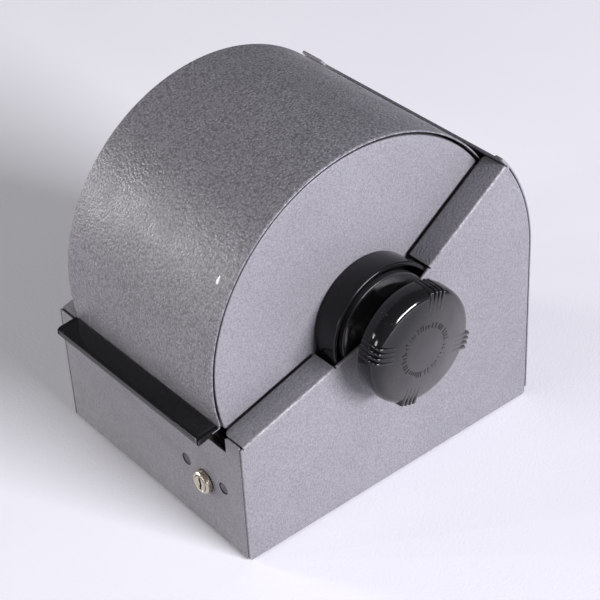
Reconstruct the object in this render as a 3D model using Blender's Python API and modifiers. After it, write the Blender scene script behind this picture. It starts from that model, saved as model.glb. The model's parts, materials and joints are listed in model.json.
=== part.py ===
"""Rotary card file: a sheet-steel base, a card wheel with two knobs, a roll-back cover and a cover lock.

Frame: metres, +Z up, +X along the drum axis towards the right knob, -Y to the front. The origin is on the
table, below the middle of the object. Every piece hangs on the empty of its moving body, and each empty lies
on the body's axis, so base pieces are given from the front panel's face and the base's bottom edge, wheel and
cover pieces from the drum axis, and lock pieces from the lock's axis.
"""

from math import asin, atan2, cos, pi, radians, sin

import bmesh
import bpy
from mathutils import Matrix, Vector

MM = 0.001

# Base
BODY_WIDTH = 150 * MM
SHEET = 1.0 * MM
FIT_GAP = 0.3 * MM
FOOT_HEIGHT = 0.8 * MM
AXIS_HEIGHT = 95.3 * MM  # drum axis above the base's bottom edge
AXIS_DEPTH = 91.4 * MM  # drum axis behind the front panel's face
REAR_RADIUS = 97.0 * MM
BEND_RADIUS = 2.5 * MM
PANEL_TOP = 60.5 * MM
CORNER_TOP = 70.8 * MM
CORNER_WIDTH = 11.6 * MM  # width of the front panel's full-height ends
TURNED_WIDTH = 13.9 * MM  # width of the side panels' turned-in top edges
FRONT_SLOPE = radians(16.4)
REAR_SLOPE = radians(34.9)
REAR_CORNER = (170.8 * MM, 152.2 * MM)
REAR_EDGE_ANGLE = radians(36)
REAR_TAB_ANGLE = radians(40)
REAR_TAB_START = 60 * MM
LEDGE_HALF = 61.8 * MM
FEET = [(x, y) for y in (14 * MM, 172 * MM) for x in (-62 * MM, 62 * MM)]
FOOT_STEM = 2.0 * MM
BUFFERS = (-48 * MM, 22 * MM)
BUFFER_TOP = 72.0 * MM

# Wheel
KNOB_END = 101.5 * MM
KNOB_RADIUS = 30.3 * MM
KNOB_BACK = 84.5 * MM
NECK_RADIUS = 9.5 * MM
NECK_SLOT = NECK_RADIUS + 2.6 * MM  # half the width of the side panels' slots
SKIRT_RADIUS = 28.2 * MM
GRIP_GROUPS = [radians(a) for a in (-17, 73, 163, 253)]
GRIPS_IN_GROUP = 4
GRIP_PITCH = radians(4.6)
GRIP_RADIUS = 31.3 * MM
AXLE_RADIUS = 4.0 * MM
AXLE_END = 92 * MM
SPACER_RADIUS = 6.5 * MM
CARD_WIDTH = 101.6 * MM
CARD_INNER = 33.0 * MM
CARD_OUTER = 86.5 * MM
TAB_OUTER = 90.2 * MM
SECTORS = 8
GUIDE_THICKNESS = 0.8 * MM
RAIL_X = 34 * MM

# Cover
COVER_RADIUS = 93.3 * MM
COVER_WIDTH = 117 * MM
DISC_HUB = 29 * MM  # the end discs' rounded middle, behind the collar
DISC_HOLE = 14 * MM
COVER_FRONT = radians(193.5)
COVER_REAR = radians(22)
DISC_REAR = radians(34.3)
DISC_FRONT = radians(194.3)
COLLAR_INNER_RADIUS = 31.8 * MM
COLLAR_RIM_RADIUS = 33.0 * MM
COLLAR_END = 73.6 * MM
STRIP_REACH = 103.7 * MM  # strip's front face ahead of the drum axis
STRIP_WIDTH = 117 * MM
STRIP_TOP = -20.55 * MM  # the strip's rear edge below the drum axis
LIP_DROP = 4.6 * MM

# Lock
LOCK_X = 43 * MM
LOCK_Z = 31 * MM
LOCK_RADIUS = 6.1 * MM
BARREL_RADIUS = 5.2 * MM
BARREL_HOLE = 5.5 * MM
CAM_REACH = 26 * MM
RIVETS = [(28.3 * MM, 35.3 * MM), (57.6 * MM, 35.4 * MM)]
RIVET_RADIUS = 3.2 * MM

DRUM_Y = (STRIP_REACH - REAR_RADIUS) / 2  # centres the whole object on the origin
FRONT_Y = DRUM_Y - AXIS_DEPTH
DRUM_AXIS = Vector((0, DRUM_Y, FOOT_HEIGHT + AXIS_HEIGHT))

ALONG_X = Matrix(((0, 0, 1), (1, 0, 0), (0, 1, 0))).to_4x4()  # outline x, y, depth to Y, Z, X
ALONG_Y = Matrix(((1, 0, 0), (0, 0, -1), (0, 1, 0))).to_4x4()  # outline x, y, depth to X, Z, -Y
TURN_ABOUT_X = Matrix.Rotation(radians(90), 4, "Y")  # a profile turned about Z, laid along X
TURN_ABOUT_Y = Matrix.Rotation(radians(-90), 4, "X")  # a profile turned about Z, laid along Y


def collection(name, shown=True):
    made = bpy.data.collections.new(name)
    made.hide_render = not shown
    bpy.context.scene.collection.children.link(made)
    return made


def material(name, colour, roughness, metallic=0.0):
    made = bpy.data.materials.new(name)
    made.use_nodes = True
    surface = made.node_tree.nodes["Principled BSDF"]
    surface.inputs["Base Color"].default_value = (*colour, 1.0)
    surface.inputs["Roughness"].default_value = roughness
    surface.inputs["Metallic"].default_value = metallic
    made.diffuse_color = (*colour, 1.0)
    return made


def pivot(name, place):
    made = bpy.data.objects.new(name, None)
    made.location = place
    made.empty_display_size = 0.02
    parts.objects.link(made)
    return made


def add(name, mesh, parent, finish, smooth=True):
    """A piece in the object's collection, hung on its body's empty."""
    made = bpy.data.objects.new(name, mesh)
    made.parent = parent
    mesh.materials.clear()
    mesh.materials.append(finish)
    if smooth:
        mesh.shade_smooth()
        mesh.set_sharp_from_angle(angle=radians(35))
    parts.objects.link(made)
    return made


def helper(name, mesh, parent):
    """A hidden shape that cuts a piece or is joined to it."""
    made = bpy.data.objects.new(name, mesh)
    made.parent = parent
    made.hide_render = True
    made.display_type = "WIRE"
    cutters.objects.link(made)
    return made


def boolean(piece, other, operation):
    step = piece.modifiers.new(operation.lower(), "BOOLEAN")
    step.operation = operation
    step.object = other


def cut(piece, other):
    boolean(piece, other, "DIFFERENCE")


def join(piece, other):
    boolean(piece, other, "UNION")


def round_edges(piece, width, segments=2, angle=40):
    step = piece.modifiers.new("rounding", "BEVEL")
    step.width = width
    step.segments = segments
    step.limit_method = "ANGLE"
    step.angle_limit = radians(angle)
    step.harden_normals = False


def finished_mesh(made, name):
    """The evaluated mesh of a helper object, which is then removed."""
    bpy.context.scene.collection.objects.link(made)
    bpy.context.view_layer.update()
    graph = bpy.context.evaluated_depsgraph_get()
    mesh = bpy.data.meshes.new_from_object(made.evaluated_get(graph))
    mesh.name = name
    data = made.data
    bpy.data.objects.remove(made)
    bpy.data.batch_remove([data])
    weld(mesh)
    return mesh


def weld(mesh):
    work = bmesh.new()
    work.from_mesh(mesh)
    bmesh.ops.remove_doubles(work, verts=work.verts, dist=1e-6)
    bmesh.ops.recalc_face_normals(work, faces=work.faces)
    work.to_mesh(mesh)
    work.free()


def plate(name, outline, low, high, lay):
    """A flat outline with the thickness from low to high, laid by the matrix."""
    curve = bpy.data.curves.new(name, "CURVE")
    curve.dimensions = "2D"
    curve.fill_mode = "BOTH"
    curve.extrude = (high - low) / 2
    spline = curve.splines.new("POLY")
    spline.points.add(len(outline) - 1)
    for point, (x, y) in zip(spline.points, outline):
        point.co = (x, y, 0, 1)
    spline.use_cyclic_u = True
    mesh = finished_mesh(bpy.data.objects.new(name, curve), name)
    mesh.transform(lay @ Matrix.Translation((0, 0, (low + high) / 2)))
    weld(mesh)
    return mesh


def block(name, low, high):
    work = bmesh.new()
    bmesh.ops.create_cube(work, size=1)
    size = Vector(high) - Vector(low)
    place = Matrix.Translation((Vector(high) + Vector(low)) / 2)
    bmesh.ops.transform(work, matrix=place @ Matrix.Diagonal((*size, 1)), verts=work.verts)
    mesh = bpy.data.meshes.new(name)
    work.to_mesh(mesh)
    work.free()
    return mesh


def turned(name, profile, steps=32, lay=TURN_ABOUT_X):
    """A solid of revolution from (radius, height) points, given from the top down its outer side."""
    mesh = bpy.data.meshes.new(name)
    rim = [(radius, 0, height) for radius, height in profile]
    edges = [(i, i + 1) for i in range(len(rim) - 1)]
    if profile[0][0] > 0:
        edges.append((len(rim) - 1, 0))
    mesh.from_pydata(rim, edges, [])
    made = bpy.data.objects.new(name, mesh)
    screw = made.modifiers.new("turn", "SCREW")
    screw.steps = steps
    screw.render_steps = steps
    screw.use_merge_vertices = True
    screw.merge_threshold = 1e-5
    mesh = finished_mesh(made, name)
    mesh.transform(lay)
    return mesh


def rod(name, radius, low, high, steps=24, lay=TURN_ABOUT_X):
    return turned(name, [(0, high), (radius, high), (radius, low), (0, low)], steps, lay)


def tube(name, outer, inner, low, high, steps=32, lay=TURN_ABOUT_X):
    return turned(name, [(outer, high), (outer, low), (inner, low), (inner, high)], steps, lay)


def arc(radius, start, end, steps, middle=(0, 0)):
    """Points on a circle, with both ends."""
    angles = [start + (end - start) * i / steps for i in range(steps + 1)]
    return [(middle[0] + radius * cos(a), middle[1] + radius * sin(a)) for a in angles]


def swept(name, profile, half_width, thickness):
    """Sheet metal bent along a (y, z) profile and running the width along X."""
    work = bmesh.new()
    chain = [work.verts.new((-half_width, y, z)) for y, z in profile]
    edges = [work.edges.new(pair) for pair in zip(chain, chain[1:])]
    moved = bmesh.ops.extrude_edge_only(work, edges=edges)["geom"]
    ends = [item for item in moved if isinstance(item, bmesh.types.BMVert)]
    bmesh.ops.translate(work, verts=ends, vec=(2 * half_width, 0, 0))
    mesh = bpy.data.meshes.new(name)
    work.to_mesh(mesh)
    work.free()
    made = bpy.data.objects.new(name, mesh)
    solid = made.modifiers.new("thickness", "SOLIDIFY")
    solid.thickness = thickness
    solid.offset = 1
    solid.use_even_offset = True
    return finished_mesh(made, name)


def mirrored(mesh, name):
    """The same piece for the other side of the object."""
    made = mesh.copy()
    made.name = name
    made.transform(Matrix.Diagonal((-1, 1, 1, 1)))
    made.flip_normals()
    return made


# ---------------------------------------------------------------- base


def base_polar(radius, angle):
    return (AXIS_DEPTH + radius * cos(angle), AXIS_HEIGHT + radius * sin(angle))


def make_wrapper(base):
    """The front, the bottom and the rolled rear, bent from one sheet."""
    corner = BEND_RADIUS
    profile = [(0, CORNER_TOP), (0, corner)]
    profile += arc(corner, pi, 1.5 * pi, 4, (corner, corner))[1:]
    back = AXIS_DEPTH + REAR_RADIUS
    profile += arc(corner, -pi / 2, 0, 4, (back - corner, corner))
    profile += [base_polar(REAR_RADIUS, a) for a in [REAR_TAB_ANGLE * i / 12 for i in range(13)]]
    half = BODY_WIDTH / 2 - SHEET - FIT_GAP
    wrapper = add("wrapper_panel", swept("wrapper_panel", profile, half, SHEET), base, enamel)

    notch = BODY_WIDTH / 2 - CORNER_WIDTH
    low_front = block("front_opening", (-notch, -5 * MM, PANEL_TOP), (notch, 5 * MM, 90 * MM))
    cut(wrapper, helper("front_opening", low_front, base))
    tip = REAR_RADIUS * 1.05
    root = REAR_RADIUS * 0.93
    wedge = [base_polar(tip, REAR_EDGE_ANGLE), base_polar(tip, 0.9), base_polar(root, 0.9)]
    wedge.append(base_polar(root, REAR_EDGE_ANGLE))
    between_tabs = plate("between_tabs", wedge, -REAR_TAB_START, REAR_TAB_START, ALONG_X)
    cut(wrapper, helper("between_tabs", between_tabs, base))

    ledge_top = PANEL_TOP - 0.1 * MM
    low = (-LEDGE_HALF, 0.5 * MM, ledge_top - SHEET)
    ledge = block("front_ledge", low, (LEDGE_HALF, 6 * MM, ledge_top))
    join(wrapper, helper("front_ledge", ledge, base))
    low = (LOCK_X - 8 * MM, 1.2 * MM, PANEL_TOP - 5 * MM)
    gate = block("catch_gate", low, (LOCK_X + 8 * MM, 9 * MM, PANEL_TOP + 5 * MM))
    cut(wrapper, helper("catch_gate", gate, base))
    holes = [("lock_hole", LOCK_X, LOCK_Z, BARREL_HOLE)]
    holes += [(f"rivet_hole_{i}", x, z, RIVET_RADIUS + FIT_GAP) for i, (x, z) in enumerate(RIVETS, 1)]
    for name, x, z, radius in holes:
        hole = rod(name, radius, -4 * MM, 4 * MM, 20, Matrix.Translation((x, 0, z)) @ TURN_ABOUT_Y)
        cut(wrapper, helper(name, hole, base))
    for i, (x, y) in enumerate(FEET, 1):
        hole = rod("foot_hole", FOOT_STEM + FIT_GAP, -2 * MM, 3 * MM, 16, Matrix.Translation((x, y, 0)))
        cut(wrapper, helper(f"foot_hole_{i}", hole, base))


def side_outline():
    """A side panel's edge, from the front bottom corner round the back to the low point of the V."""
    back = AXIS_DEPTH + REAR_RADIUS
    corner = BEND_RADIUS
    top_angle = atan2(REAR_CORNER[1] - AXIS_HEIGHT, REAR_CORNER[0] - AXIS_DEPTH)
    outline = arc(corner, pi, 1.5 * pi, 3, (corner, corner))
    outline += arc(corner, -pi / 2, 0, 3, (back - corner, corner))
    outline += [base_polar(REAR_RADIUS, top_angle * 0.96 * i / 10) for i in range(11)]
    outline.append(REAR_CORNER)
    outline += [valley_point(), (0, CORNER_TOP)]
    return outline


def valley_point():
    """Where the two sloping top edges would meet."""
    rise_front = sin(FRONT_SLOPE) / cos(FRONT_SLOPE)
    rise_rear = sin(REAR_SLOPE) / cos(REAR_SLOPE)
    y = (REAR_CORNER[1] - rise_rear * REAR_CORNER[0] - CORNER_TOP) / (rise_front - rise_rear)
    return (y, CORNER_TOP + rise_front * y)


def make_sides(base):
    """Side panels with their top edges turned in, notched for the knob's neck and the cover's collar."""
    outer = BODY_WIDTH / 2
    skin = plate("side", side_outline(), outer - SHEET, outer, ALONG_X)
    front = top_edge_strip((0, CORNER_TOP), FRONT_SLOPE, 75 * MM, 1)
    rear = top_edge_strip(REAR_CORNER, REAR_SLOPE, 75 * MM, -1)
    around_collar = rod("around_collar", COLLAR_RIM_RADIUS + 1.5 * MM, 50 * MM, outer + 5 * MM, 48)
    around_collar.transform(Matrix.Translation((0, AXIS_DEPTH, AXIS_HEIGHT)))
    above = AXIS_HEIGHT + 50 * MM
    slot = arc(NECK_SLOT, pi, 2 * pi, 12, (AXIS_DEPTH, AXIS_HEIGHT))
    slot += [(AXIS_DEPTH + NECK_SLOT, above), (AXIS_DEPTH - NECK_SLOT, above)]
    neck_slot = plate("neck_slot", slot, outer - 2 * MM, outer + 2 * MM, ALONG_X)
    for side, flip in (("right", False), ("left", True)):
        meshes = [skin.copy(), front.copy(), rear.copy(), around_collar.copy(), neck_slot.copy()]
        if flip:
            meshes = [mirrored(mesh, mesh.name) for mesh in meshes]
        panel = add(f"{side}_side_panel", meshes[0], base, enamel)
        clearance = helper(f"{side}_around_collar", meshes[3], base)
        for end, mesh in (("front", meshes[1]), ("rear", meshes[2])):
            edge = helper(f"{side}_{end}_turned_edge", mesh, base)
            cut(edge, clearance)
            join(panel, edge)
        cut(panel, helper(f"{side}_neck_slot", meshes[4], base))


def top_edge_strip(corner, slope, length, direction):
    """A turned-in edge whose top face follows a side panel's sloping edge, starting at its corner."""
    start = SHEET + FIT_GAP if direction > 0 else 3.2 * MM
    y = [corner[0] + direction * cos(slope) * t for t in (start, length)]
    z = [corner[1] - 0.05 * MM + direction * sin(slope) * t for t in (start, length)]
    drop = SHEET / cos(slope)
    outline = [(y[0], z[0]), (y[1], z[1]), (y[1], z[1] - drop), (y[0], z[0] - drop)]
    return plate("turned_edge", outline, BODY_WIDTH / 2 - TURNED_WIDTH, BODY_WIDTH / 2 - SHEET / 2, ALONG_X)


def make_saddles(base):
    """Nylon liners in the side panels' slots, which the knobs' necks turn in."""
    inner = NECK_RADIUS + FIT_GAP
    outer = NECK_SLOT - FIT_GAP
    rim = outer + 2.2 * MM
    top = 1.6 * MM
    bore = arc(inner, 2 * pi, pi, 14)
    body = arc(outer, pi, 2 * pi, 14) + [(outer, top), (inner, top)] + bore + [(-inner, top), (-outer, top)]
    flange = arc(rim, pi, 2 * pi, 14) + [(rim, 0)] + bore + [(-rim, 0)]
    skin = BODY_WIDTH / 2
    sleeve = plate("saddle", body, skin - SHEET - 0.5 * MM, skin + 1.6 * MM, ALONG_X)
    lip = plate("saddle_lip", flange, skin + FIT_GAP, skin + 1.6 * MM, ALONG_X)
    for mesh in (sleeve, lip):
        mesh.transform(Matrix.Translation((0, AXIS_DEPTH, AXIS_HEIGHT)))
    for side, flip in (("right", False), ("left", True)):
        meshes = [mirrored(mesh, mesh.name) if flip else mesh.copy() for mesh in (sleeve, lip)]
        saddle = add(f"{side}_bearing_saddle", meshes[0], base, nylon)
        join(saddle, helper(f"{side}_saddle_lip", meshes[1], base))


def make_feet(base):
    """Rubber feet, each pushed through the bottom by its stem."""
    pad_top = -0.2 * MM
    profile = [(0, 4.2 * MM), (FOOT_STEM, 4.2 * MM), (FOOT_STEM, pad_top), (5 * MM, pad_top)]
    profile += [(5 * MM, -0.5 * MM), (4.6 * MM, -FOOT_HEIGHT), (0, -FOOT_HEIGHT)]
    for i, (x, y) in enumerate(FEET, 1):
        foot = add(f"rubber_foot_{i}", turned("foot", profile, 20, Matrix.Identity(4)), base, rubber)
        foot.location = (x, y, 0)


def make_buffers(base):
    """Rubber buffers on the front ledge, which carry the closed cover's lip."""
    for i, x in enumerate(BUFFERS, 1):
        low = (x - 4 * MM, 0.2 * MM, PANEL_TOP + FIT_GAP)
        buffer = block("buffer", low, (x + 4 * MM, 3.6 * MM, BUFFER_TOP))
        round_edges(add(f"cover_buffer_{i}", buffer, base, rubber), 0.5 * MM)


# ---------------------------------------------------------------- lock


def make_lock(base, plug_pivot):
    """A cylinder lock through the front panel, with an arm that hooks over the cover's catch."""
    here = Matrix.Translation((LOCK_X, 0, LOCK_Z)) @ TURN_ABOUT_Y
    bore = 4.3 * MM
    shell = [(BARREL_RADIUS, 5.0 * MM), (BARREL_RADIUS, -FIT_GAP), (LOCK_RADIUS, -FIT_GAP)]
    shell += [(LOCK_RADIUS, -2.9 * MM), (LOCK_RADIUS - 0.6 * MM, -3.4 * MM)]
    shell += [(bore, -3.4 * MM), (bore, 5.0 * MM)]
    add("lock_housing", turned("lock_housing", shell, 28, here), base, nickel)
    low = (LOCK_X - 21 * MM, 1.3 * MM, LOCK_Z - 8 * MM)
    backing = block("lock_plate", low, (LOCK_X + 21 * MM, 2.5 * MM, LOCK_Z + 9 * MM))
    lock_plate = add("lock_plate", backing, base, zinc, smooth=False)
    hole = rod("plate_lock_hole", BARREL_HOLE, 0, 5 * MM, 24, here)
    cut(lock_plate, helper("plate_lock_hole", hole, base))
    for i, (x, z) in enumerate(RIVETS, 1):
        spot = Matrix.Translation((x, 0, z)) @ TURN_ABOUT_Y
        cut(lock_plate, helper(f"plate_rivet_hole_{i}", rod("hole", 1.9 * MM, 0, 5 * MM, 16, spot), base))
        profile = [(0, 3.6 * MM), (2.2 * MM, 3.6 * MM), (2.6 * MM, 2.8 * MM), (1.6 * MM, 2.8 * MM)]
        profile += [(1.6 * MM, 1.0 * MM), (RIVET_RADIUS, 0.95 * MM), (RIVET_RADIUS, 0.4 * MM), (0, 0.4 * MM)]
        add(f"lock_rivet_{i}", turned("rivet", profile, 20, spot), base, dark_steel)
    nut = [(8 * MM * cos(radians(60 * i)), 8 * MM * sin(radians(60 * i))) for i in range(6)]
    nut_mesh = plate("lock_nut", nut, -4.6 * MM, -2.8 * MM, ALONG_Y)
    nut_mesh.transform(Matrix.Translation((LOCK_X, 0, LOCK_Z)))
    lock_nut = add("lock_nut", nut_mesh, base, zinc, smooth=False)
    cut(lock_nut, helper("nut_bore", rod("nut_bore", BARREL_HOLE, 0, 8 * MM, 24, here), base))

    barrel = bore - FIT_GAP
    profile = [(0, 5.1 * MM), (barrel, 5.1 * MM), (barrel, -3.3 * MM), (barrel - 0.4 * MM, -3.6 * MM)]
    profile.append((0, -3.6 * MM))
    plug = add("lock_plug", turned("lock_plug", profile, 32, TURN_ABOUT_Y), plug_pivot, nickel)
    tail = block("plug_tail", (-1.8 * MM, 4.5 * MM, -1.8 * MM), (1.8 * MM, 7.6 * MM, 1.8 * MM))
    join(plug, helper("plug_tail", tail, plug_pivot))
    key_width = 0.75 * MM
    key_half = 3.0 * MM
    keyway = block("keyway", (-key_width, -6 * MM, -key_half), (key_width, 1 * MM, key_half))
    cut(plug, helper("keyway", keyway, plug_pivot))
    make_cam(plug_pivot)


def make_cam(plug_pivot):
    """An arm that lies to the left when unlocked; a quarter turn swings its finger over the catch."""
    boss = 5 * MM
    inner = CAM_REACH - 3.1 * MM
    half_bar = 3 * MM
    lean = radians(200)
    tip = lean - radians(27)
    spread = [asin(half_bar / radius) for radius in (boss, inner, CAM_REACH)]
    outline = arc(boss, lean + spread[0], lean + 2 * pi - spread[0], 16)
    outline += arc(inner, lean - spread[1], tip, 5)
    outline += arc(CAM_REACH, tip, lean + spread[2], 7)
    arm = plate("lock_cam", outline, -7.2 * MM, -6.0 * MM, ALONG_Y)
    cam = add("lock_cam", arm, plug_pivot, zinc, smooth=False)
    square = block("cam_square", (-2.1 * MM, 4 * MM, -2.1 * MM), (2.1 * MM, 9.5 * MM, 2.1 * MM))
    cut(cam, helper("cam_square", square, plug_pivot))
    head = [(0, 9.5 * MM), (2.6 * MM, 9.5 * MM), (3.4 * MM, 8.8 * MM), (3.4 * MM, 7.9 * MM), (0, 7.9 * MM)]
    add("cam_screw", turned("cam_screw", head, 20, TURN_ABOUT_Y), plug_pivot, dark_steel)


# ---------------------------------------------------------------- wheel


def knob_profile():
    """(radius, x) points of a knob from the middle of its face over the rim to the bore's inner end."""
    face = [(0, KNOB_END), (20 * MM, KNOB_END - 0.2 * MM), (25.8 * MM, KNOB_END - 0.9 * MM)]
    shoulder = [(28.6 * MM, 99.2 * MM), (29.9 * MM, 97 * MM), (KNOB_RADIUS, 94.6 * MM)]
    back = [(29.8 * MM, 86.5 * MM), (29.0 * MM, KNOB_BACK), (27.0 * MM, KNOB_BACK), (26.2 * MM, 86.5 * MM)]
    neck = [(14 * MM, 87.5 * MM), (10.5 * MM, 85 * MM), (NECK_RADIUS, 81 * MM), (NECK_RADIUS, 73.6 * MM)]
    dish = [(14 * MM, 71.4 * MM), (21 * MM, 71.4 * MM), (27.4 * MM, 73.3 * MM)]
    skirt = [(SKIRT_RADIUS, 73.0 * MM), (SKIRT_RADIUS, 70.4 * MM), (26 * MM, 69.4 * MM)]
    inner_end = [(8 * MM, 69.4 * MM), (8 * MM, 66 * MM)]
    bore = AXLE_RADIUS + FIT_GAP
    axle_bore = [(bore, 66 * MM), (bore, AXLE_END + 1 * MM), (0, AXLE_END + 1 * MM)]
    return face + shoulder + back + neck + dish + skirt + inner_end + axle_bore


def make_knobs(wheel):
    """Spool-shaped knobs: a ribbed cap, a neck in the base's slot, and a dished skirt inside the collar."""
    body = turned("knob", knob_profile(), 36)
    for side, flip in (("right", False), ("left", True)):
        knob = add(f"{side}_knob", mirrored(body, "knob") if flip else body.copy(), wheel, bakelite)
        grips = grip_ribs()
        join(knob, helper(f"{side}_grip_ribs", mirrored(grips, "grips") if flip else grips, wheel))
        spot = Matrix.Translation((78 * MM, 0, 0))
        screw = rod("knob_screw", 1.5 * MM, AXLE_RADIUS + 0.1 * MM, NECK_RADIUS - 0.8 * MM, 12, spot)
        drill = rod("screw_drill", 1.8 * MM, AXLE_RADIUS - 1 * MM, 20 * MM, 12, spot)
        if flip:
            drill = mirrored(drill, "screw_drill")
            screw = mirrored(screw, "knob_screw")
        cut(knob, helper(f"{side}_screw_drill", drill, wheel))
        add(f"{side}_knob_screw", screw, wheel, dark_steel)


def grip_ribs():
    """Four groups of ribs along the knob's rim, as one mesh of separate bars."""
    work = bmesh.new()
    for group in GRIP_GROUPS:
        for i in range(GRIPS_IN_GROUP):
            angle = group + (i - (GRIPS_IN_GROUP - 1) / 2) * GRIP_PITCH
            bar = bmesh.ops.create_cube(work, size=1)["verts"]
            size = Matrix.Diagonal((13.4 * MM, 4 * MM, 1.3 * MM, 1))
            place = Matrix.Translation((93.7 * MM, GRIP_RADIUS - 2 * MM, 0))
            bmesh.ops.transform(work, matrix=Matrix.Rotation(angle, 4, "X") @ place @ size, verts=bar)
    mesh = bpy.data.meshes.new("grip_ribs")
    work.to_mesh(mesh)
    work.free()
    return mesh


def make_core(wheel):
    """The axle, the hubs and the two rails that the cards hook on to."""
    add("axle", rod("axle", AXLE_RADIUS, -AXLE_END, AXLE_END, 24), wheel, steel)
    drum = tube("core_drum", 26 * MM, 24.8 * MM, -RAIL_X + 2.3 * MM, RAIL_X - 2.3 * MM, 40)
    add("core_drum", drum, wheel, zinc)
    bore = AXLE_RADIUS + FIT_GAP
    for side, sign in (("right", 1), ("left", -1)):
        rim = [(35.2, 1.6), (35.2, -1.6), (33.6, -1.6), (33.6, -0.6)]
        web = [(9.4, -0.6), (9.4, 0.6), (33.6, 0.6), (33.6, 1.6)]
        rail = turned("rail", [(radius * MM, RAIL_X + along * MM) for radius, along in rim + web], 32)
        hub_profile = [(9 * MM, 45 * MM), (9 * MM, RAIL_X - 0.9 * MM), (12 * MM, RAIL_X - 0.9 * MM)]
        hub_profile += [(12 * MM, RAIL_X - 3.4 * MM), (bore, RAIL_X - 3.4 * MM), (bore, 45 * MM)]
        hub = turned("hub", hub_profile, 24)
        spacer = tube("spacer", SPACER_RADIUS, bore, 45.4 * MM, 65.6 * MM, 24)
        if sign < 0:
            rail, hub, spacer = [mirrored(mesh, mesh.name) for mesh in (rail, hub, spacer)]
        add(f"{side}_rail", rail, wheel, steel)
        add(f"{side}_hub", hub, wheel, nylon)
        add(f"{side}_spacer", spacer, wheel, steel)


def make_cards(wheel):
    """Blocks of cards between tabbed guide cards, all notched to hook on the two rails."""
    grooves = []
    for i, x in enumerate((RAIL_X, -RAIL_X), 1):
        groove = tube("groove", 36 * MM, 20 * MM, x - 2.2 * MM, x + 2.2 * MM, 32)
        grooves.append(helper(f"rail_groove_{i}", groove, wheel))
    pitch = 2 * pi / SECTORS
    side_gap = FIT_GAP + GUIDE_THICKNESS / 2
    inner = arc(CARD_INNER, pitch - asin(side_gap / CARD_INNER), asin(side_gap / CARD_INNER), 6)
    outer = arc(CARD_OUTER, asin(side_gap / CARD_OUTER), pitch - asin(side_gap / CARD_OUTER), 8)
    tab_width = 17 * MM
    half = CARD_WIDTH / 2
    for i in range(SECTORS):
        turn = Matrix.Rotation(pitch * i, 4, "X")
        pack = plate("card_pack", inner + outer, -half, half, ALONG_X)
        pack.transform(turn)
        pack = add(f"card_pack_{i + 1}", pack, wheel, card_stock, smooth=False)
        tab = 4 * MM - half + (i % 5) * (CARD_WIDTH - 8 * MM - tab_width) / 4
        tab_end = tab + tab_width
        face = [(-half, CARD_INNER), (half, CARD_INNER), (half, CARD_OUTER), (tab_end, CARD_OUTER)]
        face += [(tab_end - 1.5 * MM, TAB_OUTER), (tab + 1.5 * MM, TAB_OUTER), (tab, CARD_OUTER)]
        face.append((-half, CARD_OUTER))
        guide = plate("guide_card", face, -GUIDE_THICKNESS / 2, GUIDE_THICKNESS / 2, turn)
        guide = add(f"guide_card_{i + 1}", guide, wheel, guide_stock, smooth=False)
        for piece in (pack, guide):
            for groove in grooves:
                cut(piece, groove)


# ---------------------------------------------------------------- cover


def make_cover(cover):
    """The rolled shell with its front lip, and the sector-shaped end discs."""
    half = COVER_WIDTH / 2
    rim = arc(COVER_RADIUS, COVER_REAR, COVER_FRONT, 40) + lip_points(0)
    add("cover_shell", swept("cover_shell", rim, half, SHEET), cover, enamel)

    outline = arc(COVER_RADIUS - SHEET - FIT_GAP, DISC_REAR, DISC_FRONT, 32)
    outline += arc(DISC_HUB, DISC_FRONT + radians(1.5), 2 * pi + DISC_REAR - radians(1), 8)
    disc = plate("end_disc", outline, half - 1.2 * MM, half - 0.2 * MM, ALONG_X)
    for side, flip in (("right", False), ("left", True)):
        end_disc = mirrored(disc, "end_disc") if flip else disc.copy()
        end_disc = add(f"{side}_end_disc", end_disc, cover, enamel)
        hole = rod("disc_hole", DISC_HOLE, 50 * MM, 70 * MM, 32)
        cut(end_disc, helper(f"{side}_disc_hole", mirrored(hole, "hole") if flip else hole, cover))
        collar = turned("collar", collar_profile(half), 36)
        add(f"{side}_collar", mirrored(collar, "collar") if flip else collar, cover, bakelite)


def collar_profile(half):
    """A cup with its mouth outward, carried on the wheel's spacer by its inner boss."""
    bore = SPACER_RADIUS + FIT_GAP
    shank = DISC_HOLE - 0.4 * MM
    wall = 2.2 * MM
    points = [(COLLAR_RIM_RADIUS - wall, COLLAR_END), (COLLAR_RIM_RADIUS, COLLAR_END)]
    points += [(COLLAR_INNER_RADIUS, half + 0.2 * MM), (shank, half + 0.2 * MM), (shank, half - 3.0 * MM)]
    points += [(bore, half - 3.0 * MM), (bore, half + 5.5 * MM), (10 * MM, half + 5.5 * MM)]
    points += [(10 * MM, half + 2.6 * MM), (COLLAR_INNER_RADIUS - wall, half + 2.6 * MM)]
    return points


def lip_points(clear):
    """The outer face of the cover's front lip, from the shell to its lower edge, or a line clear of it."""
    level = COVER_RADIUS * sin(COVER_FRONT) - 0.4 * MM
    front = -(STRIP_REACH - 1.3 * MM)
    points = [(-COVER_RADIUS - 1.6 * MM, level + clear)]
    points.append((front + 1 * MM - clear * 0.4, level - 0.8 * MM + clear))
    points.append((front - clear, level - 1.8 * MM + clear * 0.4))
    points.append((front - clear, level - LIP_DROP))
    return points


def make_strip(cover):
    """The moulded pull strip, hooked over the cover's front lip."""
    half = STRIP_WIDTH / 2
    rear = -COVER_RADIUS + 1.7 * MM
    top = STRIP_TOP
    front = -STRIP_REACH
    outline = [(rear, top), (front + 1.4 * MM, top - 0.95 * MM), (front + 0.4 * MM, top - 1.4 * MM)]
    outline += [(front, top - 2.3 * MM), (front, top - 4.9 * MM)]
    inside = lip_points(0.38 * MM)
    outline += [(inside[-1][0], top - 4.9 * MM)] + list(reversed(inside[:-1]))
    outline.append((rear, inside[0][1] + 0.35 * MM))
    add("handle_strip", plate("handle_strip", outline, -half, half, ALONG_X), cover, bakelite)


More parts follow.
